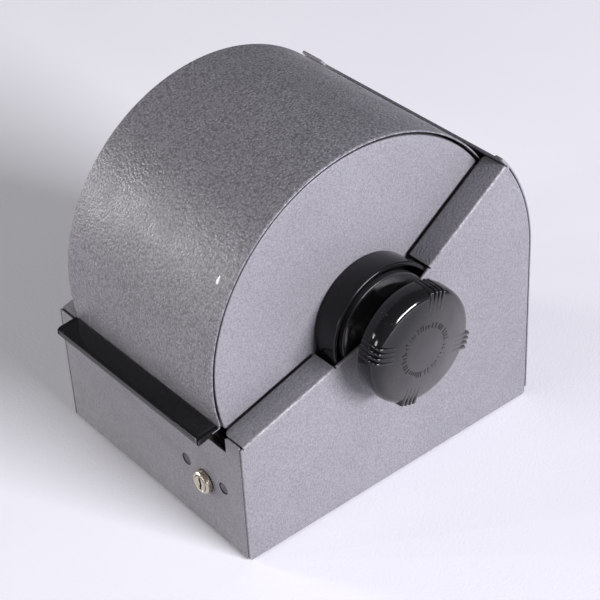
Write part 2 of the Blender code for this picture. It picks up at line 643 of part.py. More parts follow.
def make_catch(cover):
    """A bracket inside the cover's front edge, with a foot that the lock's finger hooks over."""
    half = 3.7 * MM
    outer = COVER_RADIUS - SHEET - FIT_GAP
    inner = outer - 1.2 * MM
    high_angle = radians(186)
    low_angle = radians(208.3)
    foot_front = outer * cos(low_angle) - 4.3 * MM
    foot_top = outer * sin(low_angle)
    outline = arc(outer, high_angle, low_angle, 8)
    outline += [(foot_front, foot_top), (foot_front, foot_top - 1.4 * MM)]
    outline += [(inner * cos(low_angle) + 0.6 * MM, foot_top - 1.4 * MM)]
    outline += arc(inner, low_angle, high_angle, 8)
    bracket = plate("lock_catch", outline, LOCK_X - half, LOCK_X + half, ALONG_X)
    add("lock_catch", bracket, cover, zinc, smooth=False)


# ---------------------------------------------------------------- assembly

for old in list(bpy.data.objects):
    bpy.data.objects.remove(old)

parts = collection("rotary_card_file")
cutters = collection("cutters", shown=False)

enamel = material("grey_enamel", (0.36, 0.36, 0.38), 0.45)
bakelite = material("black_phenolic", (0.02, 0.02, 0.022), 0.22)
rubber = material("rubber", (0.03, 0.03, 0.03), 0.8)
nylon = material("nylon", (0.62, 0.6, 0.55), 0.5)
nickel = material("nickel_brass", (0.62, 0.56, 0.45), 0.3, 1.0)
zinc = material("zinc_plate", (0.55, 0.55, 0.56), 0.4, 1.0)
dark_steel = material("dark_steel", (0.2, 0.2, 0.21), 0.45, 1.0)
steel = material("steel", (0.6, 0.6, 0.62), 0.3, 1.0)
card_stock = material("card_stock", (0.86, 0.84, 0.77), 0.85)
guide_stock = material("guide_stock", (0.72, 0.66, 0.5), 0.8)

base_frame = pivot("base_frame", (0, FRONT_Y, FOOT_HEIGHT))
cover_axis = pivot("cover_axis", DRUM_AXIS)
wheel_axis = pivot("wheel_axis", DRUM_AXIS)
lock_axis = pivot("lock_axis", (LOCK_X, FRONT_Y, FOOT_HEIGHT + LOCK_Z))

make_wrapper(base_frame)
make_sides(base_frame)
make_saddles(base_frame)
make_feet(base_frame)
make_buffers(base_frame)
make_lock(base_frame, lock_axis)
make_knobs(wheel_axis)
make_core(wheel_axis)
make_cards(wheel_axis)
make_cover(cover_axis)
make_strip(cover_axis)
make_catch(cover_axis)
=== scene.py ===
"""The finished look of the rotary card file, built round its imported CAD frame.

Sheet-metal pieces are cut as flat blanks and bent, as the real ones are. Turned pieces are profiles spun
about their axis. Places come from the CAD nodes' boxes and joints. Lengths are metres.
"""

import json
import random
from math import atan2, cos, degrees, hypot, pi, radians, sin, tan

import bmesh
import bpy
from mathutils import Matrix, Vector


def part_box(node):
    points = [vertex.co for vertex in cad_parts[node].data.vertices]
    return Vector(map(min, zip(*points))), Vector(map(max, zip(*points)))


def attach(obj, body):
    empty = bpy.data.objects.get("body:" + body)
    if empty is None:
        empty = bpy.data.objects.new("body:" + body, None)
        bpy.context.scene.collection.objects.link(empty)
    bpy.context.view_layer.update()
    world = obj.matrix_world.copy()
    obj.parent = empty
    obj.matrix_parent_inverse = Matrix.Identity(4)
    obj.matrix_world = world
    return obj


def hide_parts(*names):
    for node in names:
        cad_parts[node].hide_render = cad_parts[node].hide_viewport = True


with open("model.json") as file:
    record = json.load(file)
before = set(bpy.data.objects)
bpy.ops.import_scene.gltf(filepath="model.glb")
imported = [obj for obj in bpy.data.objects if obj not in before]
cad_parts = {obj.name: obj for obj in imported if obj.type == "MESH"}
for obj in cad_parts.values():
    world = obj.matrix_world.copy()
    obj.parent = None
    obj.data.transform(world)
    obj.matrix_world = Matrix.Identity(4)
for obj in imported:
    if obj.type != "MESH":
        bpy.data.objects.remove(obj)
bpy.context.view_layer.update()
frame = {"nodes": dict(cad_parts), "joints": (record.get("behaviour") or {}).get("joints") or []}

MM = 0.001
joints = {joint["name"]: joint for joint in frame["joints"]}
DRUM = Vector(joints["cover_hinge"]["pos_m"])
LOCK = Vector(joints["lock_turn"]["pos_m"])

side_low, side_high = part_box("right_side_panel")
shell_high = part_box("cover_shell")[1]
strip_low, strip_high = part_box("handle_strip")
knob_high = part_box("right_knob")[1]
collar_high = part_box("right_collar")[1]
card_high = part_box("card_pack_1")[1]

HALF_BODY = side_high.x
FRONT_Y = side_low.y
BASE_Z = side_low.z
REAR_RADIUS = side_high.y - DRUM.y
SHEET = 1.0 * MM
THIN = 0.7 * MM
SEAM = 0.5 * MM
HALF_COVER = shell_high.x
COVER_RADIUS = shell_high.z - DRUM.z
AXIS_DEPTH = DRUM.y - FRONT_Y
AXIS_HEIGHT = DRUM.z - BASE_Z

PANEL_TOP = 61.2 * MM
CORNER_TOP = 70.8 * MM
CORNER_WIDTH = 12.4 * MM
FRONT_SLOPE = radians(16.4)
REAR_SLOPE = radians(34.9)
REAR_CORNER = (170.8 * MM, 152.2 * MM)
BEND = 1.3 * MM
FOLD = 1.4 * MM
REAR_EDGE_ANGLE = radians(36.1)
REAR_TAB_ANGLE = radians(38.3)
REAR_TABS = (-59.1 * MM, 69 * MM)
RIVET_DIMPLE = 3.35 * MM
COVER_FRONT = radians(193.5)
COVER_REAR = radians(22)
LIP_LEVEL = COVER_RADIUS * sin(COVER_FRONT) - 0.4 * MM
CARD_FOOT = 33.0 * MM
CARD_TOP = 86.2 * MM
TAB_TOP = 90.2 * MM
RAIL_X = 34 * MM
MERGE = 1e-7
WARM = (1.0, 0.98, 0.99)


# ---------------- mesh tools


pieces = bpy.data.collections.new("pieces")
bpy.context.scene.collection.children.link(pieces)


def placed(name, data):
    """A new object of the scene that holds the data."""
    made = bpy.data.objects.new(name, data)
    bpy.context.scene.collection.objects.link(made)
    return made


def in_mm(rows):
    return [tuple(value * MM for value in row) for row in rows]


def finish_piece(name, mesh, body, finish, replaces=(), sharp=35):
    """Links a mesh as a piece: its shading, body, slot, material and the CAD nodes it stands for."""
    mesh.name = name
    made = bpy.data.objects.new(name, mesh)
    pieces.objects.link(made)
    mesh.materials.clear()
    mesh.materials.append(finish)
    mesh.shade_smooth()
    mesh.set_sharp_from_angle(angle=radians(sharp))
    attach(made, body)
    if replaces:
        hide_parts(*replaces)
    return made


def mesh_of(work, name="shape", normals=True):
    if normals:
        bmesh.ops.recalc_face_normals(work, faces=work.faces)
    mesh = bpy.data.meshes.new(name)
    work.to_mesh(mesh)
    work.free()
    return mesh


def modified(mesh, *steps):
    """The mesh after modifiers, each given as (type, {setting: value})."""
    holder = placed("holder", mesh)
    for kind, settings in steps:
        step = holder.modifiers.new(kind.lower(), kind)
        for key, value in settings.items():
            setattr(step, key, value)
    bpy.context.view_layer.update()
    graph = bpy.context.evaluated_depsgraph_get()
    made = bpy.data.meshes.new_from_object(holder.evaluated_get(graph))
    bpy.data.objects.remove(holder)
    return made


def thicken(thickness, offset=-1):
    return ("SOLIDIFY", {"thickness": thickness, "offset": offset, "use_even_offset": True})


def soften(width, segments=2, angle=50):
    settings = {"width": width, "segments": segments, "limit_method": "ANGLE", "angle_limit": radians(angle)}
    return ("BEVEL", settings | {"miter_outer": "MITER_ARC"})


def arc(radius, start, end, steps, middle=(0, 0)):
    angles = [start + (end - start) * i / steps for i in range(steps + 1)]
    return [(middle[0] + radius * cos(a), middle[1] + radius * sin(a)) for a in angles]


def rounded(corners, steps=5):
    """An outline from (x, y, radius) corners, rounded where the radius isn't 0."""
    outline = []
    count = len(corners)
    for i, (x, y, radius) in enumerate(corners):
        here = Vector((x, y))
        if radius == 0:
            outline.append((x, y))
            continue
        before = (Vector(corners[i - 1][:2]) - here).normalized()
        after = (Vector(corners[(i + 1) % count][:2]) - here).normalized()
        half = before.angle(after) / 2
        reach = radius / tan(half)
        middle = here + (before + after).normalized() * radius / sin(half)
        start = here + before * reach - middle
        turn = before.cross(after)
        sweep = (pi - 2 * half) * (1 if turn < 0 else -1)
        for k in range(steps + 1):
            spot = middle + Matrix.Rotation(sweep * k / steps, 2) @ start
            outline.append((spot.x, spot.y))
    return outline


def full_turn(count):
    return [2 * pi * i / count for i in range(count)]


def circle(x, y, radius, count):
    return [(x + radius * cos(a), y + radius * sin(a)) for a in full_turn(count)]


def pattern(outline, holes=()):
    """A flat blank in the XY plane with its holes cut out."""
    curve = bpy.data.curves.new("blank", "CURVE")
    curve.dimensions = "2D"
    curve.fill_mode = "BOTH"
    for ring in [outline, *holes]:
        spline = curve.splines.new("POLY")
        spline.points.add(len(ring) - 1)
        for point, (x, y) in zip(spline.points, ring):
            point.co = (x, y, 0, 1)
        spline.use_cyclic_u = True
    holder = placed("blank", curve)
    bpy.context.view_layer.update()
    graph = bpy.context.evaluated_depsgraph_get()
    flat = bpy.data.meshes.new_from_object(holder.evaluated_get(graph))
    bpy.data.objects.remove(holder)
    work = bmesh.new()
    work.from_mesh(flat)
    bmesh.ops.remove_doubles(work, verts=work.verts, dist=MERGE)
    bmesh.ops.dissolve_limit(work, angle_limit=0.001, verts=work.verts, edges=work.edges)
    return work


def crease(work, spots, direction):
    """Cuts the flat blank along straight lines through the spots, so that it can bend there."""
    for spot in spots:
        everything = work.verts[:] + work.edges[:] + work.faces[:]
        normal = Vector((-direction[1], direction[0], 0))
        bmesh.ops.bisect_plane(work, geom=everything, dist=MERGE, plane_co=(*spot, 0), plane_no=normal)


def spun(profile, angles, closed=True, axis="x", centre=(0, 0, 0), swell=None):
    """A (radius, height) profile turned about the axis. swell gives what is added to a point's radius."""
    work = bmesh.new()
    rows = []
    for angle in angles:
        row = []
        for radius, height in profile:
            reach = radius + (swell(radius, height, angle) if swell else 0)
            a, b = reach * cos(angle), reach * sin(angle)
            spot = Vector((height, a, b)) if axis == "x" else Vector((a, height, b))
            row.append(work.verts.new(spot + Vector(centre)))
        rows.append(row)
    if closed:
        rows.append(rows[0])
    for row, other in zip(rows, rows[1:]):
        for i in range(len(profile) - 1):
            work.faces.new((row[i], row[i + 1], other[i + 1], other[i]))
    bmesh.ops.remove_doubles(work, verts=work.verts, dist=MERGE)
    return work


# ---------------- materials


class Look:
    """A material's node tree, with short calls for the nodes that the finishes share."""

    def __init__(self, name, colour, roughness, **sockets):
        self.material = bpy.data.materials.new(name)
        self.material.use_nodes = True
        self.tree = self.material.node_tree
        self.shader = self.tree.nodes["Principled BSDF"]
        self.shader.inputs["Base Color"].default_value = (*colour, 1)
        self.shader.inputs["Roughness"].default_value = roughness
        for socket, value in sockets.items():
            self.shader.inputs[socket.replace("_", " ")].default_value = value
        self.place = self.tree.nodes.new("ShaderNodeTexCoord").outputs["Object"]

    def link(self, source, target):
        self.tree.links.new(source, target)

    def noise(self, scale, detail=2.0, rough=0.5, place=None):
        made = self.tree.nodes.new("ShaderNodeTexNoise")
        made.inputs["Scale"].default_value = scale
        made.inputs["Detail"].default_value = detail
        made.inputs["Roughness"].default_value = rough
        self.link(place or self.place, made.inputs["Vector"])
        return made.outputs["Fac"]

    def cells(self, scale, feature="F1", smooth=None):
        made = self.tree.nodes.new("ShaderNodeTexVoronoi")
        made.feature = feature
        made.inputs["Scale"].default_value = scale
        if smooth is not None:
            made.inputs["Smoothness"].default_value = smooth
        self.link(self.place, made.inputs["Vector"])
        return made

    def stretched(self, factors):
        made = self.tree.nodes.new("ShaderNodeMapping")
        made.inputs["Scale"].default_value = factors
        self.link(self.place, made.inputs["Vector"])
        return made.outputs["Vector"]

    def ramp(self, source, start, end, low=0.0, high=1.0):
        made = self.tree.nodes.new("ShaderNodeMapRange")
        made.interpolation_type = "SMOOTHSTEP"
        for socket, value in (("From Min", start), ("From Max", end), ("To Min", low), ("To Max", high)):
            made.inputs[socket].default_value = value
        self.link(source, made.inputs["Value"])
        return made.outputs["Result"]

    def math(self, operation, first, second):
        made = self.tree.nodes.new("ShaderNodeMath")
        made.operation = operation
        for socket, value in zip(made.inputs, (first, second)):
            if isinstance(value, float):
                socket.default_value = value
            else:
                self.link(value, socket)
        return made.outputs["Value"]

    def mix(self, amount, first, second):
        """A colour mixed from two, each a socket or a plain colour."""
        made = self.tree.nodes.new("ShaderNodeMix")
        made.data_type = "RGBA"
        self.link(amount, made.inputs["Factor"])
        for socket, value in (("A", first), ("B", second)):
            target = [s for s in made.inputs if s.name == socket and s.type == "RGBA"][0]
            if isinstance(value, tuple):
                target.default_value = (*value, 1)
            else:
                self.link(value, target)
        return [s for s in made.outputs if s.type == "RGBA"][0]

    def attribute(self, name):
        made = self.tree.nodes.new("ShaderNodeAttribute")
        made.attribute_name = name
        return made.outputs["Fac"]

    def colour(self, source):
        self.link(source, self.shader.inputs["Base Color"])

    def roughness(self, source):
        self.link(source, self.shader.inputs["Roughness"])

    def bump(self, height, distance, strength=1.0, under=None):
        made = self.tree.nodes.new("ShaderNodeBump")
        made.inputs["Distance"].default_value = distance
        made.inputs["Strength"].default_value = strength
        self.link(height, made.inputs["Height"])
        if under is not None:
            self.link(under, made.inputs["Normal"])
        self.link(made.outputs["Normal"], self.shader.inputs["Normal"])
        return made.outputs["Normal"]


def clamped(value):
    return min(max(value, 0.0), 1.0)


def tone(colour, factor):
    return tuple(channel * factor for channel in colour)


def make_enamel(name, colour, size, contrast, chips=False):
    """Stippled baked enamel: pebbles of a size in metres, cloudy tone, small dark nicks and rubbed folds,
    with painted shade in the pebbles' hollows, painted highlights on them and painted shade in seams.
    """
    look = Look(name, colour, 0.42, Specular_IOR_Level=0.45)
    clouds = look.noise(22, 3)
    grain = look.noise(1 / size, 1.5, 0.6)
    cells = look.cells(0.75 / size, "SMOOTH_F1", 0.35).outputs["Distance"]
    height = look.math("ADD", grain, look.math("MULTIPLY", cells, -0.55))
    body = look.mix(look.ramp(clouds, 0.3, 0.7), tone(colour, 0.95), tone(colour, 1.05))
    # Painted shade: the stipple's hollows are coloured darker, as shade would fall in them.
    painted_pit_shade = look.ramp(height, 0.04, 0.32, 1.0, 0.0)
    body = look.mix(look.math("MULTIPLY", painted_pit_shade, contrast), body, tone(colour, 0.5))
    # Painted highlights: small specks on the stipple are coloured lighter, as glints of light.
    painted_glints = look.ramp(look.noise(1.25 / size, 1.0), 0.57, 0.7)
    body = look.mix(look.math("MULTIPLY", painted_glints, contrast), body, tone(colour, 1.75))

    nicks = look.cells(58)
    dots = look.ramp(nicks.outputs["Distance"], 0.018, 0.034, 1.0, 0.0)
    chosen = look.ramp(look.noise(31, 0), 0.56, 0.6)
    body = look.mix(look.math("MULTIPLY", dots, chosen), body, tone(colour, 0.3))

    wear = look.math("MULTIPLY", look.attribute("wear"), look.ramp(look.noise(420, 3), 0.35, 0.65, 0.15, 1.0))
    body = look.mix(look.math("MULTIPLY", wear, 0.4), body, (0.55, 0.54, 0.52))
    # Painted shade: darker colour on the disc's wall in the seam under the shell, where shade falls.
    body = look.mix(look.attribute("painted_seam_shade"), body, tone(colour, 0.28))
    if chips:
        spot = look.attribute("chip")
        ragged = look.ramp(look.math("ADD", spot, look.math("MULTIPLY", look.noise(900, 2), 0.5)), 0.92, 0.98)
        body = look.mix(ragged, body, (0.92, 0.91, 0.88))
    look.colour(body)
    look.roughness(look.ramp(look.noise(70, 3), 0.3, 0.7, 0.36, 0.48))
    look.bump(height, 0.24 * size, 1.0)
    return look.material


def make_phenolic(name, matte, specular):
    """Black moulded phenolic: deep gloss with rubbed patches, hairlines, a little dust and, where a piece
    paints it, a lighter painted sheen partly from rubbing.
    """
    black = (0.005, 0.005, 0.0055)
    look = Look(name, black, 0.1, Specular_IOR_Level=specular)
    hairs = look.noise(500, 4, 0.7, look.stretched((1.0, 0.25, 3.0)))
    rubbed = look.ramp(look.noise(45, 4), 0.42, 0.72)
    fine = look.noise(2600, 1)
    patches = look.ramp(look.noise(85, 4), 0.2, 0.7, 0.75, 1.0)
    haze_and_sheen = look.math("MULTIPLY", look.attribute("handled_and_sheen"), patches)
    scuffs = look.math("ADD", look.ramp(hairs, 0.6, 0.8, 0.0, 0.08), look.math("MULTIPLY", haze_and_sheen, 0.1))
    look.roughness(look.math("ADD", look.ramp(rubbed, 0.0, 1.0, 0.07 + matte, 0.13 + matte), scuffs))
    motes = look.ramp(look.noise(900, 3), 0.6, 0.75)
    dust = look.math("MULTIPLY", motes, look.ramp(look.noise(60, 2), 0.45, 0.7))
    # Painted sheen: the lighter colour on the knob's face and skirt stands in for reflected light, partly
    # rubbed haze.
    body = look.mix(haze_and_sheen, black, (0.072, 0.07, 0.07))
    look.colour(look.mix(dust, body, (0.06, 0.058, 0.056)))
    look.bump(look.math("ADD", look.math("MULTIPLY", hairs, 0.4), look.math("MULTIPLY", fine, 0.25)), 0.00002)
    return look.material


def make_metal(name, colour, rough, lay=(1.0, 1.0, 1.0), tarnish=0.3):
    """Bare or plated metal: brushed along its lay, with clouded tarnish and darker specks."""
    look = Look(name, colour, rough, Metallic=1.0)
    brushed = look.noise(900, 3, 0.6, look.stretched(lay))
    clouded = look.ramp(look.noise(95, 4), 0.35, 0.7)
    specks = look.ramp(look.noise(700, 2), 0.66, 0.74)
    body = look.mix(look.math("MULTIPLY", clouded, tarnish), tone(colour, 1.08), tone(colour, 0.55))
    body = look.mix(look.math("MULTIPLY", specks, 0.5), body, tone(colour, 0.35))
    look.colour(body)
    streaks = look.ramp(brushed, 0.25, 0.8, rough - 0.08, rough + 0.12)
    look.roughness(look.math("ADD", streaks, look.math("MULTIPLY", specks, 0.2)))
    look.bump(brushed, 0.00003)
    return look.material


def make_rubber():
    look = Look("rubber_look", (0.022, 0.021, 0.02), 0.75)
    bloom = look.ramp(look.noise(140, 4), 0.4, 0.72)
    look.colour(look.mix(bloom, (0.018, 0.017, 0.017), (0.05, 0.048, 0.045)))
    look.roughness(look.ramp(bloom, 0.0, 1.0, 0.62, 0.85))
    look.bump(look.noise(1600, 3), 0.00008)
    return look.material


def make_nylon():
    look = Look("nylon_look", (0.6, 0.56, 0.47), 0.45, Subsurface_Weight=0.15, Subsurface_Scale=0.001)
    yellowed = look.ramp(look.noise(70, 3), 0.3, 0.75)
    look.colour(look.mix(yellowed, (0.66, 0.63, 0.55), (0.52, 0.46, 0.35)))
    look.roughness(look.ramp(look.noise(300, 3), 0.3, 0.7, 0.36, 0.55))
    look.bump(look.noise(1200, 2), 0.00004)
    return look.material


def make_card(name, colour, edge):
    """Card stock: fine fibres, handled top edges and slightly different sheets."""
    look = Look(name, colour, 0.8)
    fibres = look.noise(1500, 4, 0.65, look.stretched((0.4, 1.0, 1.0)))
    sheet = look.attribute("sheet")
    body = look.mix(look.ramp(sheet, 0.0, 1.0), tone(colour, 0.86), tone(colour, 1.06))
    handled_and_sheen = look.math("MULTIPLY", look.attribute("handled_and_sheen"), look.ramp(look.noise(130, 3), 0.3, 0.65))
    body = look.mix(look.math("MULTIPLY", handled_and_sheen, 0.6), body, edge)
    body = look.mix(look.math("MULTIPLY", look.ramp(fibres, 0.55, 0.75), 0.25), body, tone(colour, 0.75))
    look.colour(body)
    look.roughness(look.ramp(fibres, 0.3, 0.7, 0.72, 0.9))
    look.bump(fibres, 0.00005)
    return look.material


def make_floor():
    look = Look("pale_floor", (0.92, 0.92, 0.935), 0.75, Specular_IOR_Level=0.25)
    clouds = look.ramp(look.noise(5, 3), 0.3, 0.7)
    weave = look.noise(700, 3)
    look.colour(look.mix(clouds, (0.91, 0.91, 0.93), (0.935, 0.935, 0.95)))
    look.roughness(look.ramp(weave, 0.3, 0.7, 0.7, 0.82))
    look.bump(weave, 0.0002, 0.5)
    return look.material


GREY = (0.196, 0.192, 0.204)
enamel = make_enamel("grey_enamel_look", GREY, 0.95 * MM, 0.4)
cover_enamel = make_enamel("cover_enamel_look", tone(GREY, 0.98), 1.15 * MM, 0.75, chips=True)
phenolic = make_phenolic("black_phenolic_look", 0.0, 0.42)
matte_phenolic = make_phenolic("rubbed_phenolic_look", 0.07, 0.28)
brass = make_metal("nickel_brass_look", (0.56, 0.5, 0.4), 0.28, (1.0, 1.0, 6.0), 0.45)
zinc = make_metal("zinc_look", (0.6, 0.61, 0.62), 0.36, (0.3, 2.0, 2.0), 0.4)
steel = make_metal("steel_look", (0.58, 0.58, 0.59), 0.28, (0.15, 2.0, 2.0), 0.25)
dark_steel = make_metal("dark_steel_look", (0.12, 0.118, 0.12), 0.42, (1.0, 1.0, 1.0), 0.4)
# Near-black, used only for the painted shade inside the keyway.
keyway_shade_black = make_metal("keyway_shade_look", (0.014, 0.013, 0.013), 0.6)
rubber = make_rubber()
nylon = make_nylon()
card_stock = make_card("card_stock_look", (0.78, 0.74, 0.63), (0.45, 0.4, 0.32))
guide_stock = make_card("guide_stock_look", (0.52, 0.43, 0.28), (0.3, 0.24, 0.16))


# ---------------- sheet metal


def base_place(y, z):
    """A point of the base's side view, given from the front face and the bottom edge, in the frame."""
    return (FRONT_Y + y, BASE_Z + z)


def base_polar(radius, angle):
    return (AXIS_DEPTH + radius * cos(angle), AXIS_HEIGHT + radius * sin(angle))


class Bend:
    """A sheet's bent side view: where each point of its developed length lies, and which way it faces."""

    def __init__(self, profile):
        self.profile = [Vector(spot) for spot in profile]
        self.lengths = [0]
        self.normals = []
        for spot, after in zip(self.profile, self.profile[1:]):
            along = (after - spot).normalized()
            self.normals.append(Vector((along.y, -along.x)))
            self.lengths.append(self.lengths[-1] + (after - spot).length)

    def creases(self):
        return self.lengths[1:-1]

    def at(self, length):
        last = len(self.normals) - 1
        i = max(k for k in range(last + 1) if k == 0 or self.lengths[k] <= length + 1e-7)
        part = (length - self.lengths[i]) / (self.lengths[i + 1] - self.lengths[i])
        spot = self.profile[i].lerp(self.profile[i + 1], part)
        normal = self.normals[i]
        for edge, other in ((self.lengths[i], i - 1), (self.lengths[i + 1], i + 1)):
            if abs(length - edge) < 1e-6 and 0 <= other <= last:
                both = (self.normals[i] + self.normals[other]).normalized()
                normal = both / both.dot(self.normals[i])
        return spot, normal


def paint(work, name, weight):
    """Stores a number on each corner point, for the materials to read."""
    layer = work.verts.layers.float.new(name)
    for vert in work.verts:
        vert[layer] = weight(vert.co)


def face_away(work, outward):
    """Turns the faces so that they look along outward(point) more than against it."""
    bmesh.ops.recalc_face_normals(work, faces=work.faces)
    score = sum(face.calc_area() * face.normal.dot(outward(face.calc_center_median())) for face in work.faces)
    if score < 0:
        bmesh.ops.reverse_faces(work, faces=work.faces)


def bent(work, place, edge, thickness):
    """A flat blank moved point by point into its bent shape, thickened inward, and its edges eased.

    place(x, y) gives a point's place on the outer face, and the way that face looks there.
    thickness(y) gives the sheet's thickness there.
    """
    outer = work.verts[:] + work.edges[:] + work.faces[:]
    rims = [edge for edge in work.edges if edge.is_boundary]
    inner = bmesh.ops.duplicate(work, geom=outer)["vert_map"]
    for start, end in [edge.verts[:] for edge in rims]:
        work.faces.new((start, end, inner[end], inner[start]))
    for vert in [item for item in outer if isinstance(item, bmesh.types.BMVert)]:
        spot, normal = place(vert.co.x, vert.co.y)
        inner[vert].co = spot - normal * thickness(vert.co.y)
        vert.co = spot
    return modified(mesh_of(work), soften(edge, 2, 60))


def one_thickness(amount):
    return lambda y: amount


def make_wrapper():
    """The front, the bottom and the rolled rear, cut from one blank with its holes, ledge and rear tabs."""
    back = AXIS_DEPTH + REAR_RADIUS
    half, wide = HALF_BODY - SHEET - SEAM, HALF_BODY - 0.15 * MM
    notch = HALF_BODY - CORNER_WIDTH
    ledge_half = notch - 9 * MM
    fold = 1.3 * MM
    profile = [(0, CORNER_TOP)] + arc(BEND, pi, 1.5 * pi, 8, (BEND, BEND))
    profile += arc(BEND, -pi / 2, 0, 8, (back - BEND, BEND))
    upright_at = len(profile) - 1
    profile += [base_polar(REAR_RADIUS, REAR_TAB_ANGLE * i / 30) for i in range(1, 31)]
    sheet = Bend(profile)
    total, upright = sheet.lengths[-1], sheet.lengths[upright_at] + 2 * MM
    panel = CORNER_TOP - PANEL_TOP
    tongue = panel + 2 * fold - fold * pi / 2 - 5 * MM
    rear_edge = total - REAR_RADIUS * (REAR_TAB_ANGLE - REAR_EDGE_ANGLE)
    gate_low = LOCK.x - 8 * MM

    slit = panel + fold + 0.2 * MM
    outline = [(-half, 0, 1.2 * MM), (-notch, 0, 1.6 * MM), (-notch, panel, 0.7 * MM)]
    outline += [(-ledge_half - MM, panel, 0.2 * MM), (-ledge_half - MM, slit, 0.3 * MM)]
    outline += [(-ledge_half, slit, 0.3 * MM), (-ledge_half, tongue, 1.5 * MM)]
    outline += [(gate_low, tongue, 1 * MM), (gate_low, slit, 0.3 * MM)]
    outline += [(gate_low + MM, slit, 0.3 * MM), (gate_low + MM, panel, 0.2 * MM)]
    outline += [(notch, panel, 0.7 * MM), (notch, 0, 1.6 * MM), (half, 0, 1.2 * MM)]
    outline += [(half, upright, 0), (wide, upright + 0.5 * MM, 0), (wide, total, 1.2 * MM)]
    left_tab, right_tab = REAR_TABS
    outline += [(right_tab, total, 1.2 * MM), (right_tab, rear_edge, 1 * MM)]
    outline += [(left_tab, rear_edge, 1 * MM), (left_tab, total, 1.2 * MM), (-wide, total, 1.2 * MM)]
    outline += [(-wide, upright + 0.5 * MM, 0), (-half, upright, 0)]
    tongue_folds = [panel + fold - fold * pi / 2 * i / 5 for i in range(6)]

    def length_at(height):
        return CORNER_TOP - height

    holes = [circle(LOCK.x, length_at(LOCK.z - BASE_Z), 6.3 * MM, 40)]
    for node in ("lock_rivet_1", "lock_rivet_2"):
        low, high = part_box(node)
        middle = (low + high) / 2
        holes.append(circle(middle.x, length_at(middle.z - BASE_Z), RIVET_DIMPLE, 32))
    work = pattern(rounded(outline), holes)
    crease(work, [(0, v) for v in sheet.creases()], (1, 0))
    crease(work, [(0, v) for v in tongue_folds], (1, 0))
    crease(work, [(0, rear_edge - 4.2 * MM), (0, rear_edge - 3 * MM)], (1, 0))
    rubbed = BEND * pi / 2
    paint(work, "wear", lambda co: 0.35 if abs(co.y - CORNER_TOP + BEND - rubbed / 2) < rubbed else 0.0)

    def place(x, length):
        turned = panel + fold - length
        if -ledge_half - 0.1 * MM < x < gate_low + 0.1 * MM and turned > 0:
            angle = min(turned / fold, pi / 2)
            beyond = max(turned - fold * pi / 2, 0)
            spot = (fold * (1 - cos(angle)) + beyond, PANEL_TOP - fold + fold * sin(angle))
            normal = (-cos(angle), sin(angle))
        else:
            spot, normal = sheet.at(length)
        return Vector((x, *base_place(*spot))), Vector((0, *normal))

    def doubled(length):
        """The rear's top edge is folded back on itself."""
        return THIN + THIN * clamped((length - rear_edge + 4.2 * MM) / (1.2 * MM))

    mesh = bent(work, place, 0.2 * MM, doubled)
    finish_piece("front_bottom_rear_wrapper", mesh, "base", enamel, ["wrapper_panel"])


def edge_line(corner, slope, direction):
    """Where a side panel's sloping edge starts, the way it runs down to the collar, and up from the skin."""
    along = Vector((cos(slope), sin(slope))) * direction
    up = Vector((-sin(slope), cos(slope)))
    return Vector(corner), along, up


FRONT_EDGE = edge_line((0, CORNER_TOP), FRONT_SLOPE, 1)
REAR_EDGE = edge_line(REAR_CORNER, REAR_SLOPE, -1)


def where_circle_cuts(line, radius):
    """How far along a sloping edge it first meets a circle about the drum axis."""
    start, along, _ = line
    gap = start - Vector((AXIS_DEPTH, AXIS_HEIGHT))
    half = gap.dot(along)
    return -half - (half * half - gap.dot(gap) + radius * radius) ** 0.5


